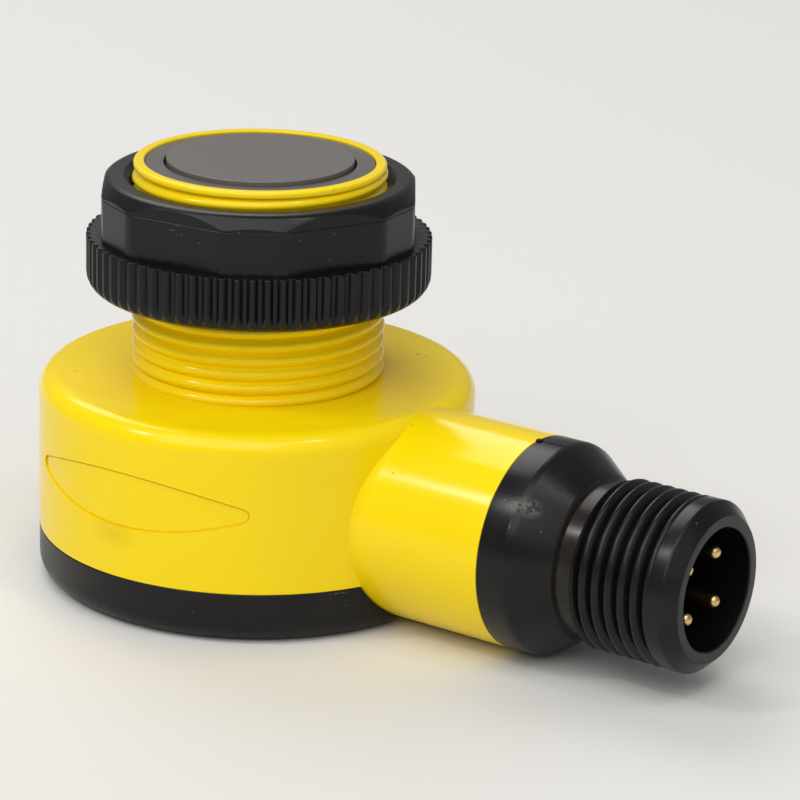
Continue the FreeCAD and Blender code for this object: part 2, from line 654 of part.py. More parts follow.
def make_driver_chip():
    body = new_body("driver_chip")
    package(body, "chip_length", "chip_width", "chip_height")
    shoulder = f"({BOARD_TOP} + (chip_height + leg_thickness) / 2)"
    legs = new_sketch(body, "legs_section", "YZ_Plane", "1.5 * chip_pitch - leg_width / 2")
    for side in (1, -1):
        leg_outline(legs, side, "(chip_width / 2 - leg_thickness)", shoulder)
    pair = raised(body, "leg_pair", legs, "leg_width")
    row = body.newObject("PartDesign::LinearPattern", "leg_rows")
    row.Originals = [pair]
    axis = next(item for item in body.Origin.OriginFeatures if item.Role == "X_Axis")
    row.Direction = (axis, [""])
    row.Reversed = True
    row.Occurrences = 4
    tie(row, "Length", "3 * chip_pitch")
    body.Tip = row
    place_on_board(body, "chip_x_share", "chip_y_share")
    return body


def make_voltage_regulator():
    """Power package with three legs on one side and a wide heat tab on the other."""
    body = new_body("voltage_regulator")
    package(body, "regulator_length", "regulator_width", "regulator_height")
    shoulder = f"({BOARD_TOP} + (regulator_height + leg_thickness) / 2)"
    inner = "(regulator_width / 2 - leg_thickness)"
    for index, step in enumerate((-1, 0, 1)):
        leg = new_sketch(body, f"leg_{index}_section", "YZ_Plane", f"{step} * regulator_pitch - leg_width")
        leg_outline(leg, -1, inner, shoulder)
        raised(body, f"leg_{index}", leg, "2 * leg_width")
    tab = new_sketch(body, "tab_section", "YZ_Plane", "-regulator_tab / 2")
    leg_outline(tab, 1, inner, shoulder)
    raised(body, "tab", tab, "regulator_tab")
    place_on_board(body, "regulator_x_share", "regulator_y_share")
    return body


def make_filter_capacitor():
    """Can on a square base, with the groove rolled in above its seal."""
    body = new_body("filter_capacitor")
    base = new_sketch(body, "base_section", "XY_Plane", BOARD_TOP)
    rectangle(base, "-can_base / 2", "-can_base / 2", "can_base / 2", "can_base / 2")
    raised(body, "base", base, "can_base_height")
    base_top = f"({BOARD_TOP} + can_base_height)"
    can_top = f"({ROOF_HEIGHT} - can_headroom)"
    turned(body, "can", [
        ("0", f"{base_top} - can_base_height / 2"),
        ("can_radius", f"{base_top} - can_base_height / 2"),
        ("can_radius", f"{base_top} + 0.3 * can_base_height"),
        ("0.9 * can_radius", f"{base_top} + 0.6 * can_base_height"),
        ("can_radius", f"{base_top} + 0.9 * can_base_height"),
        ("can_radius", can_top),
        ("0", can_top),
    ])
    place_on_board(body, "can_x_share")
    return body


def make_protection_diode():
    """Block with a flat tab folded under each end."""
    body = new_body("protection_diode")
    package(body, "diode_width", "diode_length", "diode_height", "leg_thickness")
    tabs = new_sketch(body, "tabs_section", "YZ_Plane", "-diode_tab / 2")
    for side in ("", "-"):
        rectangle(
            tabs,
            f"{side}(diode_length / 2 - leg_thickness)", BOARD_TOP,
            f"{side}(diode_length / 2 + leg_thickness)", f"{BOARD_TOP} + diode_height / 2",
        )
    raised(body, "tabs", tabs, "diode_tab")
    place_on_board(body, "diode_x_share", "diode_y_share")
    return body


# Jam nut: ribbed flange below, hexagon with cut corners above


def make_jam_nut():
    body = new_body("jam_nut")
    turned(body, "flange", [
        (NUT_BORE, "nut_bottom"),
        ("nut_flange_radius - nut_flange_round", "nut_bottom", "nut_flange_round", 1),
        ("nut_flange_radius", "nut_bottom + nut_flange_round"),
        ("nut_flange_radius", NUT_FLANGE_TOP),
        (NUT_BORE, NUT_FLANGE_TOP),
    ])
    gap = new_sketch(body, "rib_gap_section", "XY_Plane", "nut_bottom")
    outline(gap, [
        ("nut_flange_radius - rib_depth", "-rib_gap_width / 4"),
        ("nut_flange_radius + rib_depth", "-rib_gap_width * 3 / 4"),
        ("nut_flange_radius + rib_depth", "rib_gap_width * 3 / 4"),
        ("nut_flange_radius - rib_depth", "rib_gap_width / 4"),
    ])
    around(body, "ribs", cut(body, "rib_gap", gap, "nut_flange_height", back=True), "rib_count")

    # Twelve corners: each of the six wide faces is followed by a narrow one across a corner
    vertex_x = "(nut_across_corners / 2)"
    vertex_y = "((nut_across_flats / 2 - nut_across_corners / 2 * cos(30)) / sin(30))"
    hexagon = new_sketch(body, "hexagon_section", "XY_Plane", NUT_FLANGE_TOP)
    corners = []
    for step in range(6):
        for side in ("-", ""):
            turn = f"({60 * step} + nut_turn)"
            across = f"({vertex_x} * cos{turn} - {side}{vertex_y} * sin{turn})"
            up = f"({vertex_x} * sin{turn} + {side}{vertex_y} * cos{turn})"
            corners.append((across, up))
    outline(hexagon, corners)
    circle(hexagon, "0", "0", NUT_BORE)
    raised(body, "hexagon", hexagon, "nut_height - nut_flange_height")
    run = "(nut_across_corners / 2 + 1)"
    turned(body, "top_chamfer", [
        ("nut_face_radius", NUT_TOP),
        (run, f"{NUT_TOP} - ({run} - nut_face_radius) * tan(nut_chamfer_slope)"),
        (run, f"{NUT_TOP} + 1"),
        ("nut_face_radius", f"{NUT_TOP} + 1"),
    ], "PartDesign::Groove")
    depth = f"(nut_mouth_radius - {NUT_BORE})"
    turned(body, "upper_mouth", [
        (NUT_BORE, f"{NUT_TOP} - {depth}"),
        ("nut_mouth_radius", NUT_TOP),
        (NUT_BORE, NUT_TOP),
    ], "PartDesign::Groove")
    turned(body, "lower_mouth", [
        (NUT_BORE, f"nut_bottom + {depth}"),
        (NUT_BORE, "nut_bottom"),
        ("nut_mouth_radius", "nut_bottom"),
    ], "PartDesign::Groove")
    return body


# Connector: pieces drawn upright, with their height as the distance from the nose's axis


def make_connector_shell():
    """Black shell: insert in the neck, collar flush with it, cone and threaded shroud."""
    body = new_body("connector_shell")
    rise = "(plug_thread_radius - undercut_radius)"
    turned(body, "shell", [
        ("insert_bore", "insert_start"),
        (INSERT_RADIUS, "insert_start"),
        (INSERT_RADIUS, "seal_start"),
        (SEAL_FLOOR, "seal_start"),
        (SEAL_FLOOR, "seal_start + 2.6 * seal_wire"),
        (INSERT_RADIUS, "seal_start + 2.6 * seal_wire"),
        (INSERT_RADIUS, "neck_end"),
        ("neck_radius", "neck_end"),
        ("neck_radius", "collar_end"),
        ("cone_tip_radius", "cone_end"),
        ("undercut_radius", "cone_end + (cone_tip_radius - undercut_radius) / 2"),
        ("undercut_radius", "undercut_end"),
        ("plug_thread_radius", f"undercut_end + {rise} / 2"),
        ("plug_thread_radius", "plug_thread_end"),
        ("plug_face_radius", "plug_end"),
        ("socket_radius", "plug_end"),
        ("socket_radius", "insert_step"),
        ("insert_bore", "insert_step"),
    ])
    key = new_sketch(body, "key_section", "XY_Plane", "socket_floor + fit_gap")
    rectangle(
        key,
        "-(socket_radius + plug_face_radius) / 2", "-key_width / 2",
        "-(socket_radius - key_depth)", "key_width / 2",
    )
    raised(body, "key", key, "plug_end - key_setback - socket_floor - fit_gap")
    lay_along_connector(body)
    return body


def make_connector_seal():
    """Round rubber ring in the shell's groove, against the neck's bore."""
    seal = doc.addObject("Part::Torus", "connector_seal")
    tie(seal, "Radius1", "neck_bore - seal_wire")
    tie(seal, "Radius2", "seal_wire")
    seal.Placement = FreeCAD.Placement(
        FreeCAD.Vector(number("seal_start + 1.3 * seal_wire"), 0, number("neck_height")),
        FreeCAD.Rotation(FreeCAD.Vector(0, 1, 0), 90),
    )
    tie(seal, "Placement.Base.x", "seal_start + 1.3 * seal_wire")
    tie(seal, "Placement.Base.z", "neck_height")
    return seal


def make_contact_carrier():
    """Insulator that the contacts pass through, with a wider rear part against the shell's step."""
    body = new_body("contact_carrier")
    turned(body, "plug", [
        ("0", "carrier_start"),
        (CARRIER_REAR_RADIUS, "carrier_start"),
        (CARRIER_REAR_RADIUS, "insert_step"),
        (CARRIER_RADIUS, "insert_step"),
        (CARRIER_RADIUS, "socket_floor"),
        ("0", "socket_floor"),
    ])
    for name, radius, length in (
        ("pin_holes", "pin_radius", "socket_floor - carrier_start"),
        ("collar_holes", "pin_collar_radius", "(insert_step - carrier_start) / 2"),
    ):
        holes = new_sketch(body, f"{name}_section", "XY_Plane", "carrier_start")
        for index in range(4):
            across, up = pin_place(index)
            circle(holes, f"-{up}", across, f"{radius} + fit_gap / 5")
        cut(body, name, holes, length, back=True)
    lay_along_connector(body)
    return body


def make_contact_pin(index):
    """Turned contact: round tip, straight shank, locking collar and a solder cup at the rear."""
    body = new_body(f"contact_pin_{index + 1}")
    cup_end = "(pin_tail + cup_depth)"
    collar_end = "(carrier_start + (insert_step - carrier_start) / 2)"
    turned(body, "contact", [
        ("0", cup_end),
        ("wire_radius + fit_gap / 5", cup_end),
        ("wire_radius + fit_gap / 5", "pin_tail"),
        ("cup_radius", "pin_tail"),
        ("cup_radius", f"{cup_end} + cup_radius"),
        ("pin_radius", f"{cup_end} + cup_radius"),
        ("pin_radius", "carrier_start"),
        ("pin_collar_radius", "carrier_start"),
        ("pin_collar_radius", collar_end),
        ("pin_radius", collar_end),
        ("pin_radius", "pin_tip - pin_radius", "pin_radius", 1),
        ("0", "pin_tip"),
    ])
    across, up = pin_place(index)
    lay_along_connector(body, across, up)
    return body


def rounded_path(points, radius):
    """Straight runs between the points, joined by tangent arcs."""
    edges = []
    start = points[0]
    for before, corner, after in zip(points, points[1:], points[2:]):
        back = (before - corner).normalize()
        ahead = (after - corner).normalize()
        half = back.getAngle(ahead) / 2
        cut_back = radius / math.tan(half)
        enter = corner + back * cut_back
        leave = corner + ahead * cut_back
        inward = (back + ahead).normalize()
        middle = corner + inward * ((cut_back ** 2 + radius ** 2) ** 0.5 - radius)
        edges.append(Part.LineSegment(start, enter).toShape())
        edges.append(Part.Arc(enter, middle, leave).toShape())
        start = leave
    edges.append(Part.LineSegment(start, points[-1]).toShape())
    return Part.Wire(edges)


def make_lead_wire(index):
    """Lead from a contact's solder cup to its pad: the upper two on the board, the lower two under it."""
    across, up = (number(text) for text in pin_place(index))
    upper = up > 0
    height = number(f"{BOARD_TOP} + wire_radius" if upper else f"{SPIGOT_TOP} - wire_radius")
    side = number("pad_spread") * (1 if across > 0 else -1)
    tail = number("pin_tail")
    pad = number("pad_reach")
    contact_height = number("neck_height") + up
    points = [
        FreeCAD.Vector(tail + number("cup_depth") - number("fit_gap"), across, contact_height),
        FreeCAD.Vector(tail - number("wire_slack"), across, contact_height),
        FreeCAD.Vector(number("board_radius + 2 * wire_radius"), side, height),
        FreeCAD.Vector(pad, side, height),
    ]
    path = rounded_path(points, number("3 * wire_radius"))
    ring = Part.Circle(points[0], FreeCAD.Vector(-1, 0, 0), number("wire_radius"))
    wire = doc.addObject("Part::Feature", f"lead_wire_{index + 1}")
    wire.Shape = path.makePipeShell([Part.Wire(ring.toShape())], True, True)
    return wire


pieces = [
    make_housing(),
    make_base_cover(),
    make_window_bezel(),
    make_lens_window(),
    make_window_seal(),
    make_lens_tube(),
    make_focus_lens(),
    make_emitter_diode(),
    make_emitter_board(),
    make_board_header(),
    make_main_board(),
    make_driver_chip(),
    make_voltage_regulator(),
    make_filter_capacitor(),
    make_protection_diode(),
    make_jam_nut(),
    make_connector_shell(),
    make_connector_seal(),
    make_contact_carrier(),
]
pieces += [make_contact_pin(index) for index in range(4)]
pieces += [make_lead_wire(index) for index in range(4)]
doc.recompute()

failed = [item.Name for item in doc.Objects if "Invalid" in item.State or "Error" in item.State]
if failed:
    raise RuntimeError(f"not rebuilt: {failed}")

os.makedirs("parts", exist_ok=True)
for piece in pieces:
    shape = piece.Shape
    if shape.isNull() or not shape.isValid() or len(shape.Solids) != 1:
        raise RuntimeError(f"{piece.Label} is not one sound solid")
    shape.exportStep(f"parts/{piece.Label}.step")
    print(f"{piece.Label}: {shape.Volume:.2f} mm3")
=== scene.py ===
"""Looks of a threaded photoelectric sensor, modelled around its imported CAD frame."""

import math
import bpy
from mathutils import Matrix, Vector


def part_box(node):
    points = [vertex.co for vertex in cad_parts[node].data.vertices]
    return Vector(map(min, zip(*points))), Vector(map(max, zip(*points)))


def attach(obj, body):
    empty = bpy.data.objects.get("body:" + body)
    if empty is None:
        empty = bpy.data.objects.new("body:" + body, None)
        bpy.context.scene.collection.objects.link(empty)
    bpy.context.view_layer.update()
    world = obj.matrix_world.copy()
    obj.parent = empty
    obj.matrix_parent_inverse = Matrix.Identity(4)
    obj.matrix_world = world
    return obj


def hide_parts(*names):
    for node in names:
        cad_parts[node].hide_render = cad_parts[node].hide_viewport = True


bl_info = {
    "name": "Threaded photoelectric sensor",
    "version": (1, 0, 0),
    "blender": (4, 5, 0),
    "location": "View3D > Sidebar > Sensor",
    "description": "Models a round sensor with a threaded nose, a jam nut and a plug connector",
    "category": "Add Mesh",
}

import bmesh
import bpy
from mathutils import Matrix, Vector

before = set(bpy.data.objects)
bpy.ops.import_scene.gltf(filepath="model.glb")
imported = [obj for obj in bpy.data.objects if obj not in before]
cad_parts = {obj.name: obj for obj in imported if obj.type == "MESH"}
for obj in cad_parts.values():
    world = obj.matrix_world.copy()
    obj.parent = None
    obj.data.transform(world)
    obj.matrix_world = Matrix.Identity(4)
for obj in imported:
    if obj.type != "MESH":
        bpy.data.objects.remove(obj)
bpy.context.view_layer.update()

MM = 0.001
HOUSING_LOW, HOUSING_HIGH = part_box("housing")
NUT_LOW, NUT_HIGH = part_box("jam_nut")
SHELL_LOW, SHELL_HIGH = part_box("connector_shell")

SMOOTH_ANGLE = math.radians(32)
MERGE_GAP = 0.0005 * MM


# Sizes and colours that a user would change


def length(name, text, default):
    """A length in metres, shown in the scene's unit, with its default in millimetres."""
    return bpy.props.FloatProperty(
        name=name,
        description=text,
        default=default * MM,
        min=0,
        precision=5,
        unit="LENGTH",
        subtype="DISTANCE",
    )


def linear(code):
    """An sRGB hex value as linear RGB."""
    values = [int(code[index:index + 2], 16) / 255 for index in (1, 3, 5)]
    return tuple(v / 12.92 if v <= 0.04045 else ((v + 0.055) / 1.055) ** 2.4 for v in values)


def colour(name, text, default):
    """A colour with its default given as an sRGB hex value."""
    return bpy.props.FloatVectorProperty(
        name=name, description=text, default=linear(default), size=3, min=0, max=1, subtype="COLOR"
    )


class SensorSizes(bpy.types.PropertyGroup):
    puck_round: length("Housing edge", "Rounding of the housing's top edge", 1.4)
    cover_round: length("Cover edge", "Rounding of the base cover's lower edge", 1.6)
    joint_round: length("Joint edge", "Rounding of the two edges at the joint of housing and cover", 0.09)
    nose_crest: length("Nose thread", "Crest radius of the M18 x 1 thread on the nose", 8.95)
    plug_crest: length("Plug thread", "Crest radius of the M12 x 1 thread on the plug", 5.94)
    thread_pitch: length("Thread pitch", "Pitch of both threads", 1.0)
    nose_thread_depth: length("Nose thread depth", "Depth of the nose's rounded thread", 0.42)
    plug_thread_depth: length("Plug thread depth", "Depth of the plug's thread", 0.55)
    leaf_depth: length("Leaf field", "How far the leaf-shaped field is let into the housing's side", 0.12)
    rib_depth: length("Rib depth", "Depth of the gaps between the nut's ribs", 0.35)
    rib_count: bpy.props.IntProperty(
        name="Ribs", description="Ribs around the nut's flange", default=72, min=12
    )
    nut_turn: bpy.props.FloatProperty(
        name="Nut turn",
        description="How far the nut is screwed round",
        default=math.radians(-54.6),
        subtype="ANGLE",
        unit="ROTATION",
    )


class SensorColours(bpy.types.PropertyGroup):
    yellow: colour("Housing", "Glossy moulded housing", "#FADA06")
    black: colour("Black plastic", "Cover, nut and connector", "#0E0E10")
    face: colour("Window", "Dark window in the nose", "#625E5B")
    gold: colour("Contacts", "Gold-plated contacts", "#E3C583")
    floor: colour("Floor", "Floor and backdrop", "#E0DEDA")


# Modelling by hand, in millimetres


def start_fresh():
    """Leaves edit mode and deselects everything, the CAD nodes too."""
    if bpy.context.object and bpy.context.object.mode != "OBJECT":
        bpy.ops.object.mode_set(mode="OBJECT")
    bpy.ops.object.select_all(action="DESELECT")


def take(piece):
    """Makes the piece the only selected one."""
    start_fresh()
    piece.select_set(True)
    bpy.context.view_layer.objects.active = piece


def pick(piece, kind, test):
    """Selects the vertices, edges or faces that pass the test, and nothing else."""
    bpy.ops.mesh.select_mode(type={"verts": "VERT", "edges": "EDGE", "faces": "FACE"}[kind])
    bpy.ops.mesh.select_all(action="DESELECT")
    mesh = bmesh.from_edit_mesh(piece.data)
    for item in getattr(mesh, kind):
        if test(item):
            item.select_set(True)
    mesh.select_flush_mode()
    bmesh.update_edit_mesh(piece.data)


def draw(name, points, closed):
    """Draws a line through (radius, height) points by extruding one vertex from point to point.
    A third number rounds that corner over this distance to each side."""
    places = [Vector((point[0] * MM, 0, point[1] * MM)) for point in points]
    start_fresh()
    bpy.ops.mesh.primitive_plane_add(size=MM, location=places[0])
    piece = bpy.context.object
    piece.name = piece.data.name = name
    bpy.ops.object.transform_apply(location=True)
    bpy.ops.object.mode_set(mode="EDIT")
    bpy.ops.mesh.select_mode(type="VERT")
    bpy.ops.mesh.merge(type="CENTER")
    for before, after in zip(places, places[1:]):
        bpy.ops.mesh.extrude_vertices_move(TRANSFORM_OT_translate={"value": after - before})
    if closed:
        ends = (places[0], places[-1])
        pick(piece, "verts", lambda vert: min((vert.co - end).length for end in ends) < MERGE_GAP)
        bpy.ops.mesh.edge_face_add()
    for point, corner in zip(points, places):
        if len(point) == 3:
            pick(piece, "verts", lambda vert: (vert.co - corner).length < MERGE_GAP)
            bpy.ops.mesh.bevel(offset=point[2] * MM, segments=8, affect="VERTICES")
    return piece


def tidy(piece):
    """Merges doubled vertices and turns all faces outwards. Leaves edit mode."""
    bpy.ops.mesh.select_all(action="SELECT")
    bpy.ops.mesh.remove_doubles(threshold=MERGE_GAP)
    bpy.ops.mesh.normals_make_consistent(inside=False)
    bpy.ops.object.mode_set(mode="OBJECT")
    return piece


def turned(name, points, steps=256):
    """Turns an outline about the upright axis. It is closed first, unless it starts on the axis."""
    piece = draw(name, points, closed=points[0][0] > 0)
    bpy.ops.mesh.select_all(action="SELECT")
    bpy.ops.mesh.spin(steps=steps, angle=math.tau, center=(0, 0, 0), axis=(0, 0, 1))
    return tidy(piece)


def apply_modifier(piece, kind, **settings):
    take(piece)
    bpy.ops.object.modifier_add(type=kind)
    modifier = piece.modifiers[-1]
    for key, value in settings.items():
        setattr(modifier, key, value)
    bpy.ops.object.modifier_apply(modifier=modifier.name)


def combine(piece, tool, operation):
    """Joins, cuts or intersects the piece with a tool, which is used up."""
    apply_modifier(piece, "BOOLEAN", operation=operation, solver="EXACT", object=tool)
    bpy.data.objects.remove(tool)


def bar(name, radius, low, high, steps=192, across=0, up=0, turn=(0, 0, 0)):
    """Round bar between two heights, turned about the origin when it is finished."""
    start_fresh()
    bpy.ops.mesh.primitive_cylinder_add(
        vertices=steps,
        radius=radius * MM,
        depth=(high - low) * MM,
        location=(across * MM, up * MM, (high + low) / 2 * MM),
    )
    piece = bpy.context.object
    piece.name = piece.data.name = name
    bpy.ops.object.transform_apply(location=True)
    piece.rotation_euler = turn
    bpy.ops.object.transform_apply(rotation=True)
    return piece


def block(low, high):
    """Straight block between two corners, as a cutting tool."""
    start_fresh()
    bpy.ops.mesh.primitive_cube_add(size=1, location=[(a + b) / 2 * MM for a, b in zip(low, high)])
    piece = bpy.context.object
    piece.scale = [(b - a) * MM for a, b in zip(low, high)]
    bpy.ops.object.transform_apply(location=True, scale=True)
    return piece


def threaded(name, crest, depth, pitch, valley, low, high, steps=144):
    """Round bar with a right-hand thread of broad round crests and narrow valleys. valley is a
    height at which the valley crosses the XZ plane."""
    profile = [(crest - depth * (1 - math.sin(math.pi * share / 12)), share / 12) for share in range(13)]
    first = valley - math.ceil(valley - low + 1) * pitch
    piece = draw(name, [(radius, first + height * pitch) for radius, height in profile], closed=False)
    bpy.ops.object.mode_set(mode="OBJECT")
    turns = math.ceil((high - first) / pitch) + 1
    apply_modifier(
        piece, "SCREW", axis="Z", screw_offset=pitch * MM, iterations=turns, steps=steps, render_steps=steps
    )
    take(piece)
    bpy.ops.object.mode_set(mode="EDIT")
    bpy.ops.mesh.select_all(action="SELECT")
    bpy.ops.mesh.remove_doubles(threshold=MERGE_GAP)
    for height, side in ((low, -1), (high, 1)):
        bpy.ops.mesh.select_all(action="SELECT")
        bpy.ops.mesh.bisect(
            plane_co=(0, 0, height * MM), plane_no=(0, 0, side), use_fill=True, clear_outer=True,
            threshold=MERGE_GAP,
        )
    return tidy(piece)


def groove_at(piece, height, width, depth):
    """A thin groove all round the piece at one height."""
    take(piece)
    bpy.ops.object.mode_set(mode="EDIT")
    for level in (height - width / 2, height, height + width / 2):
        bpy.ops.mesh.select_all(action="SELECT")
        bpy.ops.mesh.bisect(plane_co=(0, 0, level * MM), plane_no=(0, 0, 1), threshold=MERGE_GAP)
    pick(piece, "verts", lambda vert: abs(vert.co.z / MM - height) < width / 8)
    reach = max(math.hypot(vert.co.x, vert.co.y) for vert in bmesh.from_edit_mesh(piece.data).verts) / MM
    share = 1 - depth / reach
    bpy.ops.transform.resize(value=(share, share, 1), center_override=(0, 0, 0))
    bpy.ops.object.mode_set(mode="OBJECT")


def lay_out(piece):
    """Turns an upright piece to point out along +X on the connector's axis."""
    take(piece)
    piece.rotation_euler = (0, math.pi / 2, 0)
    piece.location = (0, 0, NECK_HEIGHT * MM)
    bpy.ops.object.transform_apply(location=True, rotation=True)


def finish(piece, body, slot, material, *nodes):
    """Smooths and paints the piece, and puts it in place of its CAD nodes."""
    take(piece)
    bpy.ops.object.shade_smooth_by_angle(angle=SMOOTH_ANGLE)
    apply_modifier(piece, "WEIGHTED_NORMAL", keep_sharp=True)
    piece.data.materials.clear()
    piece.data.materials.append(material)
    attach(piece, body)
    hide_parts(*nodes)


def paint(node, material):
    """Gives a CAD node that is carried over its material."""
    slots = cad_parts[node].material_slots
    if not slots:
        raise RuntimeError(f"{node} has no material slot")
    for item in slots:
        item.material = material


# Sizes that follow the CAD solids, in millimetres. The boxes of the frame give the outer ones

PUCK_RADIUS = HOUSING_HIGH[1] / MM
PUCK_HEIGHT = 15.0
COVER_HEIGHT = 3.7
CAVITY_RADIUS = 13.6
LEDGE_RADIUS = 12.6
LEDGE_HEIGHT = 7.65
ROOF_HEIGHT = 13.2
SNAP_HEIGHT = 4.85
COVER_FLOOR = 1.6
COVER_RING_TOP = 6.0
COVER_RING_WALL = 1.35
SLOT_HALF_WIDTH = 3
NECK_RADIUS = 7.45
NECK_HEIGHT = 7.5
NECK_BORE = 6.25
NECK_ROOT = 12.6
NECK_END = HOUSING_HIGH[0] / MM
NOSE_TOP = HOUSING_HIGH[2] / MM
NOSE_BORE = 7.2
LIP_RADIUS = 8.85
FACE_RADIUS = 8.09
SEAT_HEIGHT = 27.6
WINDOW_BASE = 28.25
RING_BASE = 28.85
RING_TOP = 30.1
RING_OUTSIDE = 8.04
RING_INSIDE = 6.75
WINDOW_RADIUS = 6.58
LEAF_HALF_WIDTH = 9.05
LEAF_HALF_HEIGHT = 2.0
LEAF_TIP_ROUND = 0.6
LEAF_MIDDLE = 9.4
LEAF_GROOVE_DEPTH = 0.06
LEAF_GROOVE_WIDTH = 0.13
LEAF_FIELD_INSET = 0.06
NOSE_VALLEY = 17.88
COLLAR_RADIUS = SHELL_HIGH[1] / MM
PLUG_START = SHELL_LOW[0] / MM
PLUG_END = SHELL_HIGH[0] / MM
PLUG_VALLEY = 33.1
INSERT_RADIUS = 6.2
COLLAR_END = 26.4
CONE_END = 28.9
RELIEF_RADIUS = 5.35
LAST_CREST = 36.45
CARRIER_STEP = 22.0
SOCKET_RADIUS = 4.26
PIN_CIRCLE = 2.54


def leaf_plate(depth, inset=0):
    """Thin plate of the leaf's outline that follows the housing's round side. The inset makes it smaller."""
    half_height = LEAF_HALF_HEIGHT - inset
    tip_round = LEAF_TIP_ROUND - inset
    reach = LEAF_HALF_WIDTH - LEAF_TIP_ROUND
    rise = half_height - tip_round
    arc = (reach ** 2 + half_height ** 2 - tip_round ** 2) / (2 * rise)
    offset = arc - half_height
    towards_viewer = (math.pi / 2, 0, 0)
    plate = bar("leaf", arc, 1, PUCK_RADIUS + 1, 512, up=LEAF_MIDDLE - offset, turn=towards_viewer)
    upper = bar("leaf_upper", arc, 0, PUCK_RADIUS + 2, 512, up=LEAF_MIDDLE + offset, turn=towards_viewer)
    combine(plate, upper, "INTERSECT")
    join = reach * arc / (arc - tip_round)
    combine(plate, block((-join, -20, 0), (join, 0, 20)), "INTERSECT")
    for side in (-1, 1):
        tip = bar("tip", tip_round, 2, PUCK_RADIUS + 2, 48, side * reach, LEAF_MIDDLE, towards_viewer)
        combine(plate, tip, "UNION")
    core = bar("leaf_floor", PUCK_RADIUS - depth, 0, PUCK_HEIGHT, 384)
    combine(plate, core, "DIFFERENCE")
    return plate


# Materials


def add(material, kind, inputs=None, **settings):
    """Adds one node with its settings. An input is a value or another node's output."""
    tree = material.node_tree
    node = tree.nodes.new(f"ShaderNode{kind}")
    for key, value in settings.items():
        setattr(node, key, value)
    for key, value in (inputs or {}).items():
        if isinstance(value, bpy.types.NodeSocket):
            tree.links.new(value, node.inputs[key])
        else:
            node.inputs[key].default_value = value
    return node


def new_material(name, tint, **shader):
    """A material with its shader and the object's own coordinates."""
    material = bpy.data.materials.new(name)
    material.use_nodes = True
    material.node_tree.nodes.clear()
    place = add(material, "TexCoord").outputs["Object"]
    principled = add(material, "BsdfPrincipled", {"Base Color": (*tint, 1), **shader})
    add(material, "OutputMaterial", {"Surface": principled.outputs["BSDF"]})
    material.diffuse_color = (*tint, 1)
    return material, principled, place


def link(material, output, socket):
    material.node_tree.links.new(output, socket)


def marked(material, place, marks, rim=0.5):
    """1 inside the marks and 0 outside, soft over the rim's share. A mark is its middle and its half
    sizes in millimetres and its turn about the upright axis in degrees."""
    nearest = None
    for middle, half, turn in marks:
        local = add(material, "Mapping", {
            "Vector": place,
            "Location": Vector(middle) * MM,
            "Rotation": (0, 0, math.radians(turn)),
            "Scale": Vector(half) * MM,
        }, vector_type="TEXTURE")
        reach = add(material, "VectorMath", {0: local.outputs["Vector"]}, operation="LENGTH").outputs["Value"]
        nearest = reach if nearest is None else add(
            material, "Math", {0: nearest, 1: reach}, operation="MINIMUM"
        ).outputs["Value"]
    soft = add(material, "MapRange", {"Value": nearest, "From Min": 1.0, "From Max": 1.0 - rim})
    return soft.outputs["Result"]


def inside(material, place, low, high):
    """1 inside a box and 0 outside, its corners in millimetres."""
    local = add(material, "Mapping", {
        "Vector": place,
        "Location": (Vector(low) + Vector(high)) / 2 * MM,
        "Scale": (Vector(high) - Vector(low)) / 2 * MM,
    }, vector_type="TEXTURE")
    size = add(material, "VectorMath", {0: local.outputs["Vector"]}, operation="ABSOLUTE")
    axes = add(material, "SeparateXYZ", {"Vector": size.outputs["Vector"]})
    wide = add(material, "Math", {0: axes.outputs["X"], 1: axes.outputs["Y"]}, operation="MAXIMUM")
    most = add(material, "Math", {0: wide.outputs["Value"], 1: axes.outputs["Z"]}, operation="MAXIMUM")
    return add(material, "Math", {0: most.outputs["Value"], 1: 1.001}, operation="LESS_THAN").outputs["Value"]


def tinted(material, share, before, after):
    """Colour that goes from one to the other with the share."""
    before, after = (
        item if isinstance(item, bpy.types.NodeSocket) else (*item, 1) for item in (before, after)
    )
    return add(material, "Mix", {"Factor": share, 6: before, 7: after}, data_type="RGBA").outputs[2]


def bumped(material, place, shader, size, height):
    """Fine relief of the given grain size and height in millimetres."""
    grain = add(material, "TexNoise", {"Vector": place, "Scale": 1 / (size * MM), "Detail": 2.0})
    relief = add(material, "Bump", {"Height": grain.outputs["Fac"], "Strength": 1.0, "Distance": height * MM})
    link(material, relief.outputs["Normal"], shader.inputs["Normal"])


# Dirt specks and faint brownish smudges on the yellow housing, as the photograph shows them
YELLOW_SPECKS = (
    ((-9.41, -8.92, 15.0), (0.09, 0.09, 0.09), 0),
    ((-7.98, -9.2, 15.0), (0.07, 0.07, 0.07), 0),
    ((15.0, -2.95, 14.65), (0.08, 0.1, 0.2), 0),
    ((15.1, -2.3, 14.5), (0.07, 0.07, 0.2), 0),
    ((7.0, 9.83, 15.0), (0.1, 0.16, 0.1), 0),
    ((7.75, 9.82, 15.0), (0.08, 0.12, 0.1), 0),
    ((12.26, 0.09, 15.0), (0.07, 0.07, 0.07), 0),
    ((10.95, 3.01, 15.0), (0.06, 0.1, 0.07), 0),
    ((4.18, -11.02, 15.0), (0.06, 0.06, 0.07), 0),
    ((9.47, -9.65, 15.0), (0.05, 0.05, 0.07), 0),
    ((16.0, -5.75, 12.24), (0.07, 0.07, 0.07), 0),
    ((7.93, -3.94, 30.35), (0.06, 0.06, 0.08), 0),
    ((8.41, -2.76, 30.12), (0.06, 0.07, 0.08), 0),
)


YELLOW_SMUDGES = (
    ((-0.6, -15.5, 6.8), (2.4, 0.9, 1.2), 0),
)


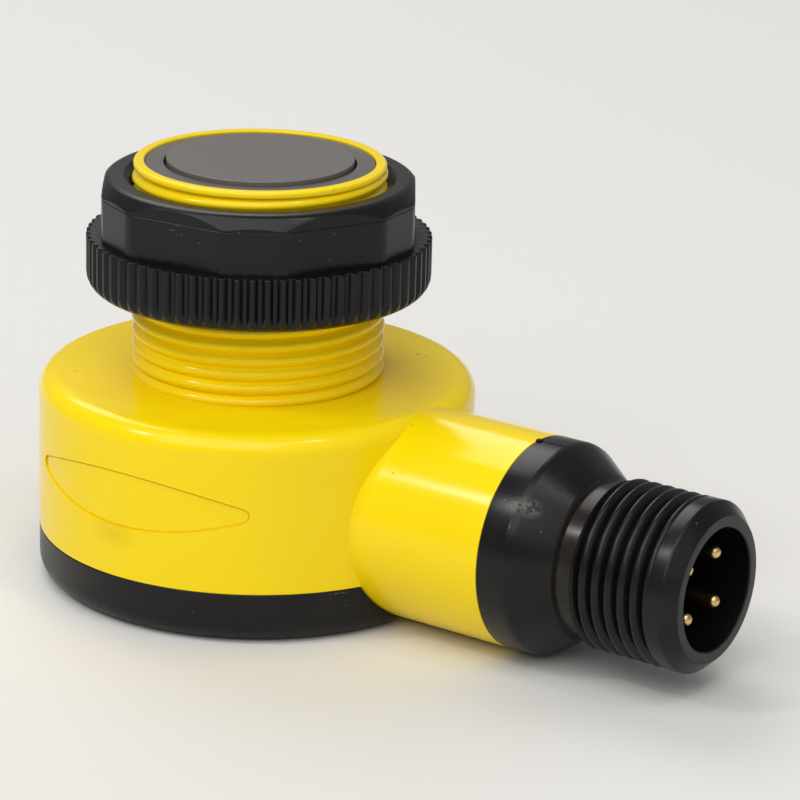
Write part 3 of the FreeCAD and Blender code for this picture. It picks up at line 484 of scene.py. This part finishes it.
def moulded_yellow(tint):
    """Glossy moulded ABS: saturated and nearly mirror smooth, with a few dirt specks and faint smudges."""
    material, shader, place = new_material("moulded_yellow_abs", tint, Roughness=0.17, IOR=1.36)
    broad = add(material, "TexNoise", {"Vector": place, "Scale": 1 / (6 * MM), "Detail": 3.0})
    dull = add(material, "MapRange", {
        "Value": broad.outputs["Fac"], "From Min": 0.45, "From Max": 0.75, "To Max": 0.03,
    })
    shade = tinted(material, dull.outputs["Result"], tint, linear("#C9A100"))
    soiled = marked(material, place, YELLOW_SMUDGES, 1.0)
    smudge = add(material, "Math", {0: soiled, 1: broad.outputs["Fac"]}, operation="MULTIPLY")
    shade = tinted(material, smudge.outputs["Value"], shade, linear("#DDBB10"))
    shade = tinted(material, marked(material, place, YELLOW_SPECKS), shade, linear("#5A4A10"))
    link(material, shade, shader.inputs["Base Color"])
    bumped(material, place, shader, 3.0, 0.002)
    return material


def moulded_black(name, tint, roughness, grain=0.12, scuffs_and_highlights=(), dusty=0.0):
    """Satin moulded polyamide: black with the fine grain of an etched mould, paler grey in its marks, which
    are scuffs and painted highlights, and with a few pale dust grains."""
    material, shader, place = new_material(name, tint, IOR=1.36)
    broad = add(material, "TexNoise", {"Vector": place, "Scale": 1 / (4 * MM), "Detail": 3.0})
    gloss = add(material, "MapRange", {
        "Value": broad.outputs["Fac"], "From Min": 0.3, "From Max": 0.7,
        "To Min": roughness - 0.05, "To Max": roughness + 0.05,
    })
    link(material, gloss.outputs["Result"], shader.inputs["Roughness"])
    cells = add(material, "TexVoronoi", {"Vector": place, "Scale": 1 / (1.3 * MM)})
    grains = add(material, "MapRange", {
        "Value": cells.outputs["Distance"], "From Min": 0.05, "From Max": 0.03, "To Max": 0.35 + dusty,
    })
    shade = tinted(material, grains.outputs["Result"], tint, linear("#8A867C"))
    # The marks are tinted paler grey: scuffs, and painted highlights where a mark stands in for light
    # reflected on an edge or face.
    if scuffs_and_highlights:
        ragged = add(material, "TexNoise", {"Vector": place, "Scale": 1 / (0.25 * MM), "Detail": 3.0})
        broken = add(material, "MapRange", {
            "Value": ragged.outputs["Fac"], "From Min": 0.4, "From Max": 0.55,
        })
        scuffed_and_lit = marked(material, place, scuffs_and_highlights, 0.8)
        scuff_and_highlight_share = add(material, "Math", {0: scuffed_and_lit, 1: broken.outputs["Result"]}, operation="MULTIPLY")
        shade = tinted(material, scuff_and_highlight_share.outputs["Value"], shade, linear("#5C5852"))
    link(material, shade, shader.inputs["Base Color"])
    bumped(material, place, shader, grain, 0.003)
    return material, shader, place, shade


def satin_face(name, tint, roughness):
    """Dark filter plastic with an even satin face, greyer than the black around it."""
    material, shader, place = new_material(name, tint, Roughness=roughness, IOR=1.5)
    bumped(material, place, shader, 0.05, 0.001)
    return material


def gold_plated(tint):
    """Gold-plated brass: a clean warm metal with faint turning marks along the pin."""
    material, shader, place = new_material("gold_plated_brass", tint, Metallic=1.0, Roughness=0.24)
    bumped(material, place, shader, 0.3, 0.001)
    return material


def plain_plastic(name, tint, roughness, grain=0.1):
    """Even plastic or rubber inside the sensor, its sheen set by the roughness."""
    material, shader, place = new_material(name, tint, Roughness=roughness, IOR=1.5)
    bumped(material, place, shader, grain, 0.002)
    return material


def clear_plastic():
    """Polished clear lens: sharp highlights, and what is behind shows through."""
    material, shader, place = new_material(
        "clear_lens_plastic", linear("#E6EEF0"), Roughness=0.03, IOR=1.49, **{"Transmission Weight": 1.0}
    )
    bumped(material, place, shader, 5.0, 0.001)
    return material


def solder_mask():
    """Green solder mask: glossy, with paler tracks showing through it."""
    material, shader, place = new_material("green_solder_mask", linear("#0B4A26"), Roughness=0.3, IOR=1.5)
    tracks = add(material, "TexBrick", {
        "Vector": place, "Scale": 1 / (2 * MM), "Mortar Size": 0.05, "Mortar Smooth": 0.1,
    })
    shade = tinted(material, tracks.outputs["Fac"], linear("#0B4A26"), linear("#2A7A45"))
    link(material, shade, shader.inputs["Base Color"])
    bumped(material, place, shader, 0.8, 0.002)
    return material


def with_metal(name, tint, roughness, low, high, metal="#C9C9C6"):
    """A component's body inside the box, and bright tinned or gilt metal outside it."""
    material, shader, place = new_material(name, tint, IOR=1.5)
    body = inside(material, place, low, high)
    link(material, tinted(material, body, linear(metal), tint), shader.inputs["Base Color"])
    for socket, outside, within in (("Metallic", 1.0, 0.0), ("Roughness", 0.3, roughness)):
        blended = add(material, "Mix", {"Factor": body, 2: outside, 3: within}, data_type="FLOAT")
        link(material, blended.outputs[0], shader.inputs[socket])
    bumped(material, place, shader, 0.1, 0.002)
    return material


# Operators


class Piece(bpy.types.Operator):
    """Base of the operators below"""
    bl_options = {"REGISTER", "UNDO"}


class SENSOR_OT_stage(Piece):
    """Sets up the camera, the lights, the floor and the backdrop"""
    bl_idname = "sensor.stage"
    bl_label = "Stage"

    def execute(self, context):
        scene = context.scene
        camera_data = bpy.data.cameras.new("view")
        camera_data.sensor_width = 36.0
        camera_data.lens = 167.798
        camera_data.clip_start = 0.02
        camera = bpy.data.objects.new("view", camera_data)
        scene.collection.objects.link(camera)
        heading, pitch, roll = 0.61032, 0.32293, 0.0257
        place = Matrix.Translation(Vector((152.729, -200.642, 97.137)) * MM)
        turn = (
            Matrix.Rotation(heading, 4, "Z")
            @ Matrix.Rotation(math.pi / 2 - pitch, 4, "X")
            @ Matrix.Rotation(roll, 4, "Z")
        )
        camera.matrix_world = place @ turn
        scene.camera = camera

        start_fresh()
        bpy.ops.mesh.primitive_plane_add(size=3.0, location=(0, 0, 0))
        floor = context.object
        floor.name = floor.data.name = "floor"
        paper, shader, grain = new_material("backdrop_paper", scene.sensor_colours.floor, Roughness=0.8)
        bumped(paper, grain, shader, 0.4, 0.005)
        floor.data.materials.append(paper)

        for name, spot, aim, size, power in (
            ("key", (0.12, -0.62, 0.82), (0.01, 0, 0.015), 1.0, 6.9),
            ("glint", (-0.44, -0.54, 0.71), (0.01, 0, 0.02), 0.12, 1.3),
            ("edge", (0.44, -0.02, 0.89), (0.01, 0, 0.015), 0.12, 0.6),
            ("fill", (0.60, -0.30, 0.50), (0.01, 0, 0.015), 0.8, 1.0),
            ("back", (-0.45, 0.32, 0.65), (0.01, 0, 0.015), 0.5, 2.4),
        ):
            lamp = bpy.data.lights.new(name, "AREA")
            lamp.shape = "SQUARE"
            lamp.size = size
            lamp.energy = power
            light = bpy.data.objects.new(name, lamp)
            scene.collection.objects.link(light)
            light.location = spot
            light.rotation_euler = (Vector(aim) - Vector(spot)).to_track_quat("-Z", "Y").to_euler()
        world = bpy.data.worlds.new("studio")
        world.use_nodes = True
        world.node_tree.nodes["Background"].inputs["Color"].default_value = (1, 1, 1, 1)
        world.node_tree.nodes["Background"].inputs["Strength"].default_value = 0.28
        scene.world = world
        scene.view_settings.view_transform = "Standard"
        return {"FINISHED"}


class SENSOR_OT_housing(Piece):
    """Models the yellow housing: puck, threaded nose, side neck and leaf field"""
    bl_idname = "sensor.housing"
    bl_label = "Housing"

    def execute(self, context):
        sizes = context.scene.sensor_sizes
        piece = turned("housing_moulding", [
            (0, COVER_HEIGHT),
            (PUCK_RADIUS, COVER_HEIGHT, sizes.joint_round / MM),
            (PUCK_RADIUS, PUCK_HEIGHT, sizes.puck_round / MM),
            (0, PUCK_HEIGHT),
        ], 384)
        depth = sizes.leaf_depth / MM
        edge_groove = leaf_plate(depth + LEAF_GROOVE_DEPTH)
        combine(edge_groove, leaf_plate(1, LEAF_GROOVE_WIDTH), "DIFFERENCE")
        combine(piece, edge_groove, "DIFFERENCE")
        combine(piece, leaf_plate(depth, LEAF_FIELD_INSET), "DIFFERENCE")
        neck = turned("neck", [
            (0, NECK_ROOT), (NECK_RADIUS, NECK_ROOT), (NECK_RADIUS, NECK_END, 0.08), (0, NECK_END),
        ])
        lay_out(neck)
        combine(piece, neck, "UNION")
        nose = threaded(
            "nose", sizes.nose_crest / MM, sizes.nose_thread_depth / MM, sizes.thread_pitch / MM,
            NOSE_VALLEY, PUCK_HEIGHT - 0.5, NOSE_TOP - 0.3,
        )
        blank = turned("blank", [
            (0, 14),
            (9.2, 14),
            (9.2, NOSE_TOP - 0.8),
            (LIP_RADIUS - 0.1, NOSE_TOP - 0.45),
            (LIP_RADIUS - 0.1, 32),
            (0, 32),
        ])
        combine(nose, blank, "INTERSECT")
        lip = turned("lip", [
            (0, NOSE_TOP - 0.45),
            (LIP_RADIUS, NOSE_TOP - 0.45, 0.1),
            (LIP_RADIUS, NOSE_TOP, 0.22),
            (0, NOSE_TOP),
        ])
        combine(nose, lip, "UNION")
        combine(piece, nose, "UNION")
        hollow = turned("hollow", [
            (0, COVER_HEIGHT - 1),
            (CAVITY_RADIUS, COVER_HEIGHT - 1),
            (CAVITY_RADIUS, SNAP_HEIGHT - 0.3),
            (CAVITY_RADIUS + 0.2, SNAP_HEIGHT),
            (CAVITY_RADIUS, SNAP_HEIGHT + 0.3),
            (CAVITY_RADIUS, LEDGE_HEIGHT),
            (LEDGE_RADIUS, LEDGE_HEIGHT),
            (LEDGE_RADIUS, ROOF_HEIGHT),
            (NOSE_BORE, ROOF_HEIGHT),
            (NOSE_BORE, SEAT_HEIGHT),
            (FACE_RADIUS, SEAT_HEIGHT),
            (FACE_RADIUS, NOSE_TOP - 0.08),
            (FACE_RADIUS + 1.08, NOSE_TOP + 1),
            (0, NOSE_TOP + 1),
        ])
        combine(piece, hollow, "DIFFERENCE")
        bore = bar("bore", NECK_BORE, NECK_ROOT - 2.8, NECK_END + 1)
        lay_out(bore)
        combine(piece, bore, "DIFFERENCE")
        yellow = moulded_yellow(context.scene.sensor_colours.yellow)
        finish(piece, "sensor", "yellow_housing", yellow, "housing")
        return {"FINISHED"}


class SENSOR_OT_cover(Piece):
    """Models the black base cover with its ring, its saddle for the neck and its snap bead"""
    bl_idname = "sensor.cover"
    bl_label = "Base cover"

    def execute(self, context):
        sizes = context.scene.sensor_sizes
        ring = CAVITY_RADIUS - 0.05
        piece = turned("base_cover_moulding", [
            (0, 0),
            (PUCK_RADIUS, 0, sizes.cover_round / MM),
            (PUCK_RADIUS, COVER_HEIGHT, sizes.joint_round / MM),
            (ring, COVER_HEIGHT),
            (ring, SNAP_HEIGHT - 0.2),
            (ring + 0.2, SNAP_HEIGHT),
            (ring, SNAP_HEIGHT + 0.2),
            (ring, COVER_RING_TOP),
            (ring - COVER_RING_WALL, COVER_RING_TOP),
            (ring - COVER_RING_WALL, COVER_FLOOR, 0.4),
            (0, COVER_FLOOR),
        ], 384)
        for radius, start in ((NECK_RADIUS + 0.1, NECK_ROOT - 0.05), (NECK_BORE, 8.8)):
            cutter = bar("cutter", radius, start, PUCK_RADIUS + 1)
            lay_out(cutter)
            combine(piece, cutter, "DIFFERENCE")
        slot = block(
            (NECK_ROOT - 0.05, -SLOT_HALF_WIDTH, -1), (PUCK_RADIUS + 1, SLOT_HALF_WIDTH, COVER_FLOOR)
        )
        combine(piece, slot, "DIFFERENCE")
        # The first mark is a painted highlight, a thin pale line along the cover's top edge at the joint; the
        # second is a scuff.
        black = moulded_black("moulded_black_cover", context.scene.sensor_colours.black, 0.34, scuffs_and_highlights=(
            ((13.3, -8.0, 3.5), (0.9, 0.3, 0.07), 57),
            ((14.9, -4.1, 0.45), (0.12, 0.12, 0.12), 0),
        ))[0]
        finish(piece, "sensor", "black_cover", black, "base_cover")
        return {"FINISHED"}


class SENSOR_OT_face(Piece):
    """Models the black ring and the raised window in the nose"""
    bl_idname = "sensor.face"
    bl_label = "Face"

    def execute(self, context):
        tint = context.scene.sensor_colours.face
        ring = turned("face_ring", [
            (RING_INSIDE, RING_BASE),
            (RING_OUTSIDE, RING_BASE),
            (RING_OUTSIDE, RING_TOP, 0.06),
            (RING_INSIDE, RING_TOP, 0.05),
        ], 192)
        darker = [0.8 * part for part in tint]
        finish(ring, "sensor", "black_bezel", satin_face("satin_face_ring", darker, 0.32), "window_bezel")
        window = turned("face_window", [
            (0, WINDOW_BASE),
            (RING_OUTSIDE, WINDOW_BASE),
            (RING_OUTSIDE, RING_BASE),
            (WINDOW_RADIUS, RING_BASE),
            (WINDOW_RADIUS, 30.4, 0.07),
            (0, 30.4),
        ], 192)
        finish(window, "sensor", "window_filter", satin_face("satin_window", tint, 0.3), "lens_window")
        return {"FINISHED"}


class SENSOR_OT_nut(Piece):
    """Models the jam nut: ribbed flange, hexagon with cut corners, chamfer and bore"""
    bl_idname = "sensor.nut"
    bl_label = "Jam nut"

    def execute(self, context):
        sizes = context.scene.sensor_sizes
        low, high = NUT_LOW[2] / MM, NUT_HIGH[2] / MM
        flange_radius, flange_round, flange_top = 12.15, 1.2, low + 3.95
        per_rib = 8
        piece = turned("jam_nut_moulding", [
            (0, low), (flange_radius, low, flange_round), (flange_radius, flange_top, 0.12), (0, flange_top),
        ], sizes.rib_count * per_rib)
        take(piece)
        bpy.ops.object.mode_set(mode="EDIT")
        floor_radius = flange_radius - sizes.rib_depth / MM
        step = math.tau / (sizes.rib_count * per_rib)
        rings = sorted({
            round(math.hypot(vert.co.x, vert.co.y) / MM, 3)
            for vert in bmesh.from_edit_mesh(piece.data).verts
        })

        def spot(vert):
            """Which of the eight columns of a rib's share the vertex stands in, 0 in the gap's middle."""
            column = round(math.atan2(vert.co.y, vert.co.x) / step) % per_rib
            return min(column, per_rib - column)

        for ring in rings:
            if ring <= floor_radius:
                continue
            for columns, share_left in (((0, 1), 0.0), ((2,), 0.55), ((3,), 0.93)):
                pick(piece, "verts", lambda vert: (
                    abs(math.hypot(vert.co.x, vert.co.y) / MM - ring) < 0.002 and spot(vert) in columns
                ))
                share = (floor_radius + (ring - floor_radius) * share_left) / ring
                bpy.ops.transform.resize(value=(share, share, 1), center_override=(0, 0, 0))
        bpy.ops.object.mode_set(mode="OBJECT")
        piece.rotation_euler = (0, 0, math.radians(-2.3))
        bpy.ops.object.transform_apply(rotation=True)

        flat, corner = 10.85, 11.325
        start_fresh()
        bpy.ops.mesh.primitive_cylinder_add(
            vertices=6,
            radius=flat / math.cos(math.pi / 6) * MM,
            depth=(high - low - 2) * MM,
            location=(0, 0, (high + low + 2) / 2 * MM),
            rotation=(0, 0, sizes.nut_turn - math.pi / 2),
        )
        hexagon = context.object
        bpy.ops.object.transform_apply(location=True, rotation=True)
        bpy.ops.object.mode_set(mode="EDIT")
        for offset, segments in ((2 * (flat / math.cos(math.pi / 6) - corner), 1), (0.45, 5)):
            pick(hexagon, "edges", lambda edge: abs(edge.verts[0].co.z - edge.verts[1].co.z) > MM)
            bpy.ops.mesh.bevel(offset=offset * MM, segments=segments)
        bpy.ops.object.mode_set(mode="OBJECT")
        face_radius, slope = 10.65, math.tan(math.radians(50))
        cone = turned("cone", [
            (0, low + 1),
            (14, low + 1),
            (14, high - (14 - face_radius) * slope),
            (face_radius, high, 0.3),
            (0, high),
        ], 192)
        combine(hexagon, cone, "INTERSECT")
        apply_modifier(
            hexagon, "BEVEL", width=0.12 * MM, segments=3, limit_method="ANGLE", angle_limit=math.radians(25)
        )
        groove_at(hexagon, high - 1.1, 0.07, 0.03)
        combine(piece, hexagon, "UNION")
        bore = turned("bore", [
            (0, low - 1), (9.55 + 1, low - 1), (9.0, low + 0.55), (9.0, high - 0.55), (9.55 + 1, high + 1),
            (0, high + 1),
        ], 192)
        combine(piece, bore, "DIFFERENCE")
        black = moulded_black("moulded_black_nut", context.scene.sensor_colours.black, 0.3, scuffs_and_highlights=(
            ((0.9, -10.9, 27.65), (0.5, 0.3, 0.07), 10),
            ((1.3, -10.9, 28.0), (0.35, 0.3, 0.1), 30),
            ((1.5, -10.85, 27.4), (0.7, 0.3, 0.05), 10),
            ((2.9, -10.6, 27.1), (0.2, 0.3, 0.07), 15),
            ((-1.9, -10.8, 28.45), (0.15, 0.3, 0.06), 10),
        ))[0]
        finish(piece, "jam_nut", "black_nut", black, "jam_nut")
        return {"FINISHED"}


class SENSOR_OT_plug(Piece):
    """Models the connector shell: collar, cone, threaded shroud, socket and coding key"""
    bl_idname = "sensor.plug"
    bl_label = "Plug shell"

    def execute(self, context):
        sizes = context.scene.sensor_sizes
        crest = sizes.plug_crest / MM
        piece = turned("plug_shell", [
            (0, PLUG_START),
            (INSERT_RADIUS, PLUG_START),
            (INSERT_RADIUS, 22.4),
            (5.45, 22.4),
            (5.45, 23.44),
            (INSERT_RADIUS, 23.44),
            (INSERT_RADIUS, NECK_END),
            (COLLAR_RADIUS, NECK_END, 0.08),
            (COLLAR_RADIUS, COLLAR_END, 0.3),
            (5.75, CONE_END, 0.1),
            (RELIEF_RADIUS, CONE_END + 0.2),
            (RELIEF_RADIUS, LAST_CREST),
            (crest, LAST_CREST, 0.05),
            (crest, 37.5, 0.1),
            (5.06, PLUG_END, 0.06),
            (0, PLUG_END),
        ])
        thread = threaded(
            "plug_thread", crest, sizes.plug_thread_depth / MM, sizes.thread_pitch / MM,
            PLUG_VALLEY, 30.35, 36.6,
        )
        blank = turned("blank", [(0, 30.0), (5.3, 30.0), (6.2, 30.9), (6.2, 37.0), (0, 37.0)])
        combine(thread, blank, "INTERSECT")
        combine(piece, thread, "UNION")
        socket = turned("socket", [
            (0, 17.0),
            (5.1, 17.0),
            (5.1, CARRIER_STEP),
            (SOCKET_RADIUS, CARRIER_STEP),
            (SOCKET_RADIUS, PLUG_END - 0.08),
            (5.0, PLUG_END + 0.6),
            (0, PLUG_END + 0.6),
        ], 192)
        combine(piece, socket, "DIFFERENCE")
        key = block((-4.66, -0.6, 29.55), (-3.51, 0.6, 36.9))
        apply_modifier(key, "BEVEL", width=0.08 * MM, segments=2)
        combine(piece, key, "UNION")
        lay_out(piece)
        top = NECK_HEIGHT + COLLAR_RADIUS
        for low, high in (
            ((NECK_END + 0.05, -0.36, top - 0.2), (26.2, -0.26, top + 0.02)),
            ((NECK_END - 0.02, -0.6, top - 0.2), (NECK_END + 0.35, -0.25, top + 0.1)),
        ):
            combine(piece, block(low, high), "UNION")
        tint = context.scene.sensor_colours.black
        # The first mark is a painted highlight, a pale patch where light reflects on the collar and cone; the
        # other marks are scuffs.
        black, shader, place, shade = moulded_black("moulded_black_plug", tint, 0.28, scuffs_and_highlights=(
            ((26.9, -5.5, 12.2), (1.7, 0.9, 0.8), 0),
            ((26.1, -6.5, 10.85), (0.1, 0.5, 0.8), 0),
            ((28.6, -0.1, 13.1), (0.12, 0.2, 0.3), 0),
            ((28.73, -3.0, 12.2), (0.12, 0.25, 0.2), 0),
            ((30.28, -2.8, 12.06), (0.1, 0.2, 0.2), 0),
            ((29.3, -5.0, 8.1), (0.12, 0.4, 0.12), 0),
            ((30.95, -5.35, 7.7), (0.12, 0.3, 0.12), 0),
        ), dusty=0.2)
        # The relief between cone and thread is rough and holds brownish dust
        middle = inside(black, place, (CONE_END, -6, 1), (30.4, 6, 14))
        ragged = add(black, "TexNoise", {"Vector": place, "Scale": 1 / (0.5 * MM), "Detail": 4.0})
        caked = add(black, "Math", {0: middle, 1: ragged.outputs["Fac"]}, operation="MULTIPLY")
        dusted = tinted(black, caked.outputs["Value"], shade, linear("#2C251D"))
        link(black, dusted, shader.inputs["Base Color"])
        finish(piece, "sensor", "black_connector", black, "connector_shell")
        return {"FINISHED"}


class SENSOR_OT_contacts(Piece):
    """Models the contact carrier and the four gold contacts"""
    bl_idname = "sensor.contacts"
    bl_label = "Contacts"

    def execute(self, context):
        colours = context.scene.sensor_colours
        rear, front = PLUG_START + 1.0, PLUG_END - 8.9
        carrier = turned("carrier", [
            (0, rear),
            (5.05, rear),
            (5.05, CARRIER_STEP),
            (4.21, CARRIER_STEP),
            (4.21, front, 0.1),
            (0, front),
        ], 128)
        gold = gold_plated(colours.gold)
        tail, tip = rear - 2.8, PLUG_END - 0.9
        for index in range(4):
            angle = math.radians(3.4 + 45 + 90 * index)
            across, up = PIN_CIRCLE * math.cos(angle), PIN_CIRCLE * math.sin(angle)
            for radius, low, high in ((0.52, rear - 0.5, front + 0.5), (0.82, rear - 0.5, rear + 1.7)):
                hole = bar("hole", radius, low, high, 32, across=-up, up=across)
                combine(carrier, hole, "DIFFERENCE")
            pin = turned(f"contact_{index + 1}", [
                (0, tail + 1.2), (0.41, tail + 1.2), (0.41, tail), (0.62, tail, 0.05), (0.62, tail + 1.82),
                (0.5, tail + 1.82), (0.5, rear), (0.8, rear), (0.8, rear + 1.7), (0.5, rear + 1.7),
                (0.5, tip, 0.49), (0, tip),
            ], 40)
            pin.location = (-up * MM, across * MM, 0)
            bpy.ops.object.transform_apply(location=True)
            lay_out(pin)
            finish(pin, "sensor", "gold_contact", gold, f"contact_pin_{index + 1}")
        lay_out(carrier)
        black = moulded_black("moulded_black_carrier", colours.black, 0.5)[0]
        finish(carrier, "sensor", "black_connector", black, "contact_carrier")
        return {"FINISHED"}


class SENSOR_OT_optics(Piece):
    """Paints the CAD pieces of the optics and the seals inside the housing"""
    bl_idname = "sensor.optics"
    bl_label = "Optics and seals"

    def execute(self, context):
        rubber = plain_plastic("black_seal_rubber", linear("#1A1A1A"), 0.75)
        paint("window_seal", rubber)
        paint("connector_seal", rubber)
        paint("lens_tube", plain_plastic("light_trap_black", linear("#0E0E0E"), 0.85, 0.2))
        paint("focus_lens", clear_plastic())
        epoxy = with_metal("tinted_epoxy_diode", linear("#3A2A4A"), 0.1, (-2, -2, 14.95), (2, 2, 21))
        paint("emitter_diode", epoxy)
        return {"FINISHED"}


class SENSOR_OT_circuit(Piece):
    """Paints the CAD pieces of the two circuit boards and what is soldered to them"""
    bl_idname = "sensor.circuit"
    bl_label = "Circuit boards"

    def execute(self, context):
        mask = solder_mask()
        paint("main_board", mask)
        paint("emitter_board", mask)
        epoxy = linear("#1B1B1D")
        for node, tint, roughness, low, high, metal in (
            ("board_header", linear("#151515"), 0.5, (-4.65, -4, 7.6), (-2.15, 4, 10.1), "#E8B95A"),
            ("driver_chip", epoxy, 0.45, (0.06, -9.34, 7.75), (4.96, -5.44, 9.05), "#C9C9C6"),
            ("voltage_regulator", epoxy, 0.45, (-0.87, 5.44, 7.6), (5.63, 8.94, 9.2), "#C9C9C6"),
            ("protection_diode", epoxy, 0.45, (-9.22, -4.79, 7.6), (-6.62, -0.49, 9.8), "#C9C9C6"),
            ("filter_capacitor", linear("#1C1C1C"), 0.5, (0.8, -2.7, 7.6), (6.2, 2.7, 8.4), "#C4C6C8"),
        ):
            paint(node, with_metal(f"{node}_finish", tint, roughness, low, high, metal))
        return {"FINISHED"}


class SENSOR_OT_leads(Piece):
    """Paints the four lead wires in the usual order of colours"""
    bl_idname = "sensor.leads"
    bl_label = "Lead wires"

    def execute(self, context):
        for index, code in enumerate(("#5A3418", "#DADAD6", "#1E4FA0", "#151515"), start=1):
            paint(f"lead_wire_{index}", plain_plastic(f"wire_insulation_{index}", linear(code), 0.35, 0.3))
        return {"FINISHED"}


OPERATORS = (
    SENSOR_OT_stage,
    SENSOR_OT_housing,
    SENSOR_OT_cover,
    SENSOR_OT_face,
    SENSOR_OT_nut,
    SENSOR_OT_plug,
    SENSOR_OT_contacts,
    SENSOR_OT_optics,
    SENSOR_OT_circuit,
    SENSOR_OT_leads,
)


class SENSOR_PT_pieces(bpy.types.Panel):
    """Lists the pieces and their sizes and colours"""
    bl_idname = "SENSOR_PT_pieces"
    bl_label = "Photoelectric sensor"
    bl_space_type = "VIEW_3D"
    bl_region_type = "UI"
    bl_category = "Sensor"

    def draw(self, context):
        for group in (context.scene.sensor_sizes, context.scene.sensor_colours):
            box = self.layout.box()
            for name in group.__annotations__:
                box.prop(group, name)
        for operator in OPERATORS:
            self.layout.operator(operator.bl_idname)


CLASSES = (SensorSizes, SensorColours, *OPERATORS, SENSOR_PT_pieces)


def register():
    for item in CLASSES:
        bpy.utils.register_class(item)
    bpy.types.Scene.sensor_sizes = bpy.props.PointerProperty(type=SensorSizes)
    bpy.types.Scene.sensor_colours = bpy.props.PointerProperty(type=SensorColours)


def unregister():
    del bpy.types.Scene.sensor_colours
    del bpy.types.Scene.sensor_sizes
    for item in reversed(CLASSES):
        bpy.utils.unregister_class(item)


def main():
    register()
    for operator in OPERATORS:
        group, name = operator.bl_idname.split(".")
        getattr(getattr(bpy.ops, group), name)()


if __name__ == "__main__":
    main()
